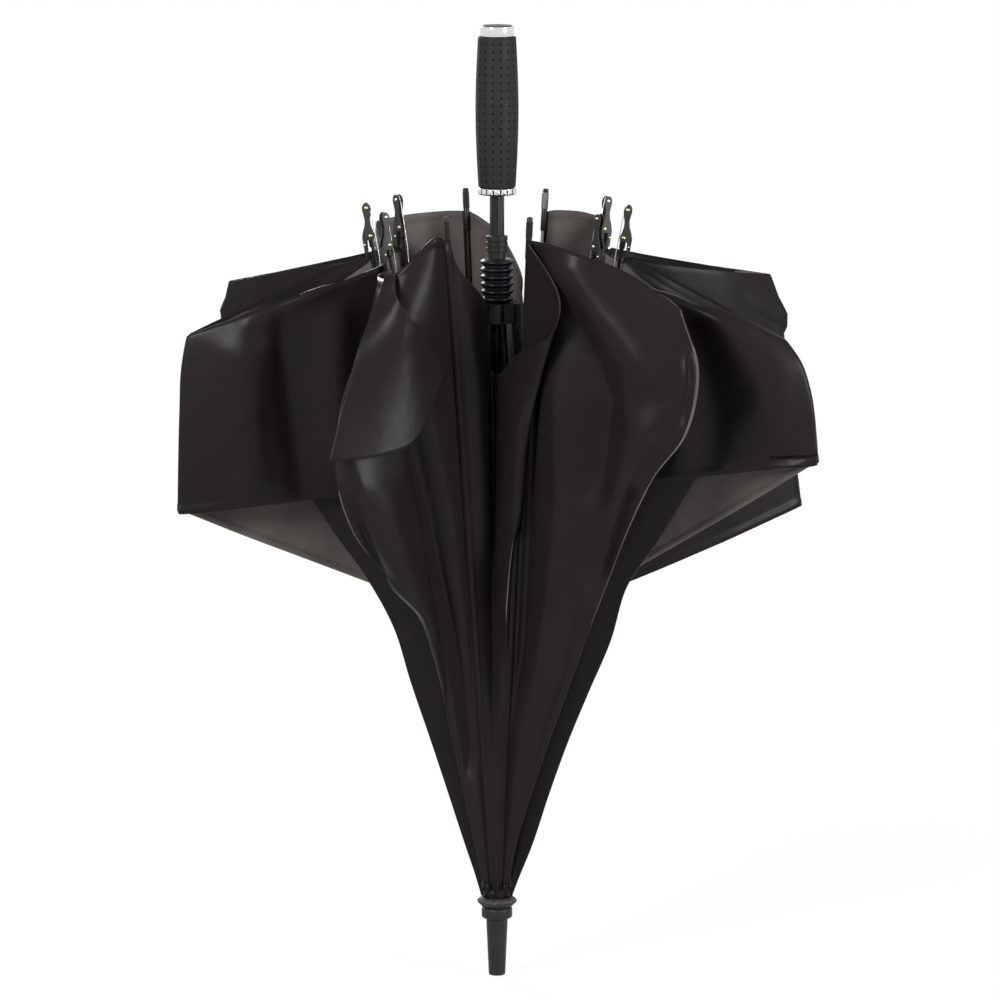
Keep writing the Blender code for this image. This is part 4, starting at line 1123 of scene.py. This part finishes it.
def build_ferrule():
    """The ruffled rosette under the canopy, the collar below it and the ferrule's tip."""
    radius, top, bottom = reach_of("canopy_rosette")
    waist, neck = (top + bottom) / 2, ROSETTE_NECK

    def ruffle(angle, at, z):
        share = max(0.0, (at - neck) / (radius - neck))
        drift = RUFFLE_DRIFT * math.sin(RUFFLE_DRIFT_WAVES * angle)
        return -RUFFLE_DEPTH * share * (1 + math.sin(RUFFLE_WAVES * angle + drift))

    turned("rosette_ruffle", [
        (BORE, top), (neck, top), *((radius + reach, waist + rise) for reach, rise in ROSETTE_EDGE),
        (neck + ROSETTE_FOOT, bottom), (BORE, bottom),
    ], CLOTH_PLAIN, "shaft", "canopy_rosette", angles=around(RUFFLE_SIDES), shape=ruffle, smooth_angle=70.0)
    radius, top, bottom = reach_of("ferrule_collar")
    edge = FERRULE_RING_EDGE
    turned("ferrule_ring", [
        (BORE, top), (radius - FERRULE_RING_STEP, top),
        *arc((radius - edge, top - edge), edge, FERRULE_RING_ARC, 0, FERRULE_RING_POINTS),
        *arc((radius - edge, bottom + edge), edge, 0, -90), (BORE, bottom),
    ], BLACK_PLASTIC, "shaft", "ferrule_collar")
    radius, top, bottom = reach_of("ferrule_tip")
    edge, pit = FERRULE_EDGE, bottom + FERRULE_PIT_DEPTH
    step_in, step_down = FERRULE_STEP
    turned("ferrule_end", [
        (BORE, top), (radius - step_in, top), (radius, top - step_down),
        *arc((FERRULE_TIP_RADIUS - edge, bottom + edge), edge, FERRULE_ARC, -90, FERRULE_POINTS),
        (FERRULE_PIT_RADIUS, bottom), (FERRULE_PIT_RADIUS, pit), (BORE, pit),
    ], BLACK_PLASTIC, "shaft", "ferrule_tip")


# Levers with their extension arms

def rod_mesh(points, radius, sides=ROD_SIDES):
    """Vertices and faces of a round rod through points; radius is one value or one for each point."""
    points = np.asarray(points, float)
    radii = np.broadcast_to(radius, (len(points),))
    ahead = unit(np.gradient(points, axis=0))
    first = unit(np.cross(ahead, ROD_TURN))
    second = np.cross(ahead, first)
    vertices = [
        p + r * (f * math.cos(angle) + s * math.sin(angle))
        for p, r, f, s in zip(points, radii, first, second) for angle in around(sides)
    ]
    last = (len(points) - 1) * sides
    ends = [tuple(range(sides)), tuple(range(last, last + sides))]
    return vertices, ring_faces(len(points), sides) + ends


def joined(*shapes):
    vertices, faces = [], []
    for points, polygons in shapes:
        base = len(vertices)
        vertices.extend(points)
        faces.extend(tuple(base + k for k in polygon) for polygon in polygons)
    return vertices, faces


def slab(outline, origin, across, up, sideways, low, high):
    vertices = [origin + across * a + up * b + sideways * s for s in (low, high) for a, b in outline]
    count = len(outline)
    faces = [tuple(range(count)), tuple(range(count, 2 * count))]
    faces += [(k, k + count, (k + 1) % count + count, (k + 1) % count) for k in range(count)]
    return vertices, faces


def rivet(centre, direction, half, share):
    """A domed rivet through both plates."""
    profile = [(-half - RIVET_HEAD * rise, width) for rise, width in RIVET_DOME]
    profile += [(half + RIVET_HEAD * rise, width) for rise, width in reversed(RIVET_DOME)]
    radii = [RIVET_RADIUS * share * width for _, width in profile]
    return rod_mesh([centre + direction * at for at, _ in profile], radii, RIVET_SIDES)


def build_lever(arm, number):
    """Plates, rivets, extension arm and link wire at the end of a lever rib."""
    pivot, along, sideways, outward = rib_frame(number)
    body = node = f"extension_arm_{arm}"
    centre = pivot + along * LEVER_PIVOT_LENGTH
    inner, outer = LEVER_GAP / 2, LEVER_GAP / 2 + LEVER_PLATE
    outline = [(LEVER_DEPTH * a, LEVER_HEIGHT * b) for a, b in LEVER_INNER_SHARES]
    outline += [(LEVER_REACH * a, LEVER_HEIGHT * b) for a, b in LEVER_OUTER_SHARES]
    plates = make_piece(f"lever_plates_{arm}", *joined(
        slab(outline, centre, outward, along, sideways, -outer, -inner),
        slab(outline, centre, outward, along, sideways, inner, outer),
    ), LEVER_STEEL, smooth_angle=30.0)
    bevel = plates.modifiers.new("edges", "BEVEL")
    bevel.width = LEVER_EDGE
    bevel.segments = 2
    bevel.limit_method = "ANGLE"
    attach(plates, body)
    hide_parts(node)

    bar = (1 + LEVER_BAR_INNER) / 2 * LEVER_REACH
    socket = centre + outward * bar - along * SOCKET_DROP
    half = SOCKET_LENGTH / 2
    block = [(-ARM_RADIUS, -half), (ARM_RADIUS, -half), (ARM_RADIUS, half), (-ARM_RADIUS, half)]
    start = socket - along * (SOCKET_LENGTH / 3)
    tip, tip_start = ARM_TIP_RADIUS / ARM_RADIUS, ARM_LENGTH - ARM_TIP_LENGTH
    stations = (
        (0.0, ARM_ROOT_SHARE), (half, 1.0), (tip_start, 1.0),
        (tip_start + ARM_TIP_STEP, tip), (ARM_LENGTH - ARM_RADIUS, tip), (ARM_LENGTH, tip * 0.5),
    )
    arm_piece = make_piece(f"extension_rod_{arm}", *joined(
        slab(block, socket, outward, along, sideways, -inner, inner),
        rod_mesh([start - along * at for at, _ in stations], [ARM_RADIUS * share for _, share in stations]),
    ), GLOSS_BLACK, smooth_angle=40.0)
    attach(arm_piece, body)

    top = centre + along * LEVER_HEIGHT - outward * LEVER_DEPTH * LEVER_TOP_SHARE
    rivets = make_piece(f"lever_rivets_{arm}", *joined(
        rivet(top, sideways, outer, LARGE_RIVET),
        rivet(centre, sideways, outer, LARGE_RIVET),
        rivet(centre + outward * bar - along * half, sideways, outer, SMALL_RIVET),
    ), BRASS, smooth_angle=45.0)
    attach(rivets, body)

    low_share, knee_share, hook_share = WIRE_SHARES
    low_end = pivot + along * WIRE_LOW_END - outward * WIRE_INNER * low_share
    knee = pivot + along * (LEVER_PIVOT_LENGTH - WIRE_KNEE) - outward * WIRE_INNER * knee_share
    hook = top - outward * WIRE_INNER * hook_share
    bend = (knee + hook) / 2 - outward * WIRE_BEND
    path = spline([low_end, knee, bend, hook, top], WIRE_STEPS)
    shape = rod_mesh(path, WIRE_RADIUS, WIRE_SIDES)
    wire = make_piece(f"link_wire_{arm}", *shape, WIRE_STEEL, smooth_angle=60.0)
    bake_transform(wire)


# Stage, lights and camera

def add_aimed(name, data, place, target):
    """Adds a camera or a light at a place, turned towards a target."""
    added = bpy.data.objects.new(name, data)
    added.location = place
    direction = Vector(target) - Vector(place)
    added.rotation_euler = direction.to_track_quat("-Z", "Y").to_euler()
    bpy.context.scene.collection.objects.link(added)
    return added


def add_camera():
    data = bpy.data.cameras.new("camera")
    data.sensor_width = SENSOR_WIDTH * THOUSAND
    data.lens = LENS_LENGTH * THOUSAND
    data.shift_x = FRAME_SHIFT_X
    data.shift_y = FRAME_SHIFT_Y
    place = (0, -CAMERA_DISTANCE, CAMERA_HEIGHT)
    bpy.context.scene.camera = add_aimed("camera", data, place, (0, 0, CAMERA_TARGET_Z))


def add_light(name, place, size, power):
    data = bpy.data.lights.new(name, "AREA")
    data.shape = "RECTANGLE"
    data.size, data.size_y = size
    data.energy = power
    add_aimed(name, data, place, LIGHT_TARGET)


def add_world():
    world = bpy.data.worlds.new("studio")
    bpy.context.scene.world = world
    world.use_nodes = True
    tree = world.node_tree
    strength = ramp(tree, seen_rays(tree), WORLD_STRENGTH, 1.0)
    feed(tree, tree.nodes["Background"], {"Color": (1, 1, 1, 1), "Strength": strength})


def seen_rays(tree):
    """One where a camera, glossy or transmission ray arrives, otherwise zero."""
    rays = tree.nodes.new("ShaderNodeLightPath").outputs
    mirrored = math_of(tree, "MAXIMUM", rays["Is Camera Ray"], rays["Is Glossy Ray"])
    return math_of(tree, "MAXIMUM", mirrored, rays["Is Transmission Ray"])


def add_floor():
    """A white floor that keeps a faint shadow under the object and melts into the white world."""
    low = CAD_BOX[0][2] - FLOOR_GAP
    corners = [(x * FLOOR_SIZE, y * FLOOR_SIZE, low) for x, y in ((-1, -1), (1, -1), (1, 1), (-1, 1))]
    material, tree, shader = new_material("studio_floor")
    feed(tree, shader, {"Base Color": (*(FLOOR_WHITE,) * 3, 1), "Roughness": FLOOR_ROUGHNESS})
    place = tree.nodes.new("ShaderNodeTexCoord").outputs["Object"]
    flat = math_of(tree, "MULTIPLY", place, (1, 1, 0), kind="VectorMath", output="Vector")
    length = math_of(tree, "LENGTH", flat, kind="VectorMath")
    white = ramp(tree, length, SHADOW_WHITE, 1.0, SHADOW_START, SHADOW_END)
    mixed = feed(tree, tree.nodes.new("ShaderNodeMixShader"), {
        "Fac": math_of(tree, "MULTIPLY", white, seen_rays(tree)),
        1: shader.outputs["BSDF"],
        2: tree.nodes.new("ShaderNodeEmission").outputs["Emission"],
    })
    feed(tree, tree.nodes["Material Output"], {"Surface": mixed.outputs["Shader"]})
    floor = make_piece("studio_floor", corners, [(0, 1, 2, 3)], material)


add_camera()
add_world()
add_floor()
for name, (place, size, power) in LIGHTS.items():
    add_light(name, place, size, power)

dress_nodes()
build_grip()
build_rings()
build_shaft()
build_runner()
build_ferrule()
for arm, number in enumerate(LEVER_RIBS, start=1):
    build_lever(arm, number)
for number, gore in GORES.items():
    build_gore(number, gore)
    build_rib_cover(number)
    if number not in LEVER_RIBS:
        build_rib_cap(number)
build_lapel()

bpy.context.scene.view_settings.view_transform = "Standard"
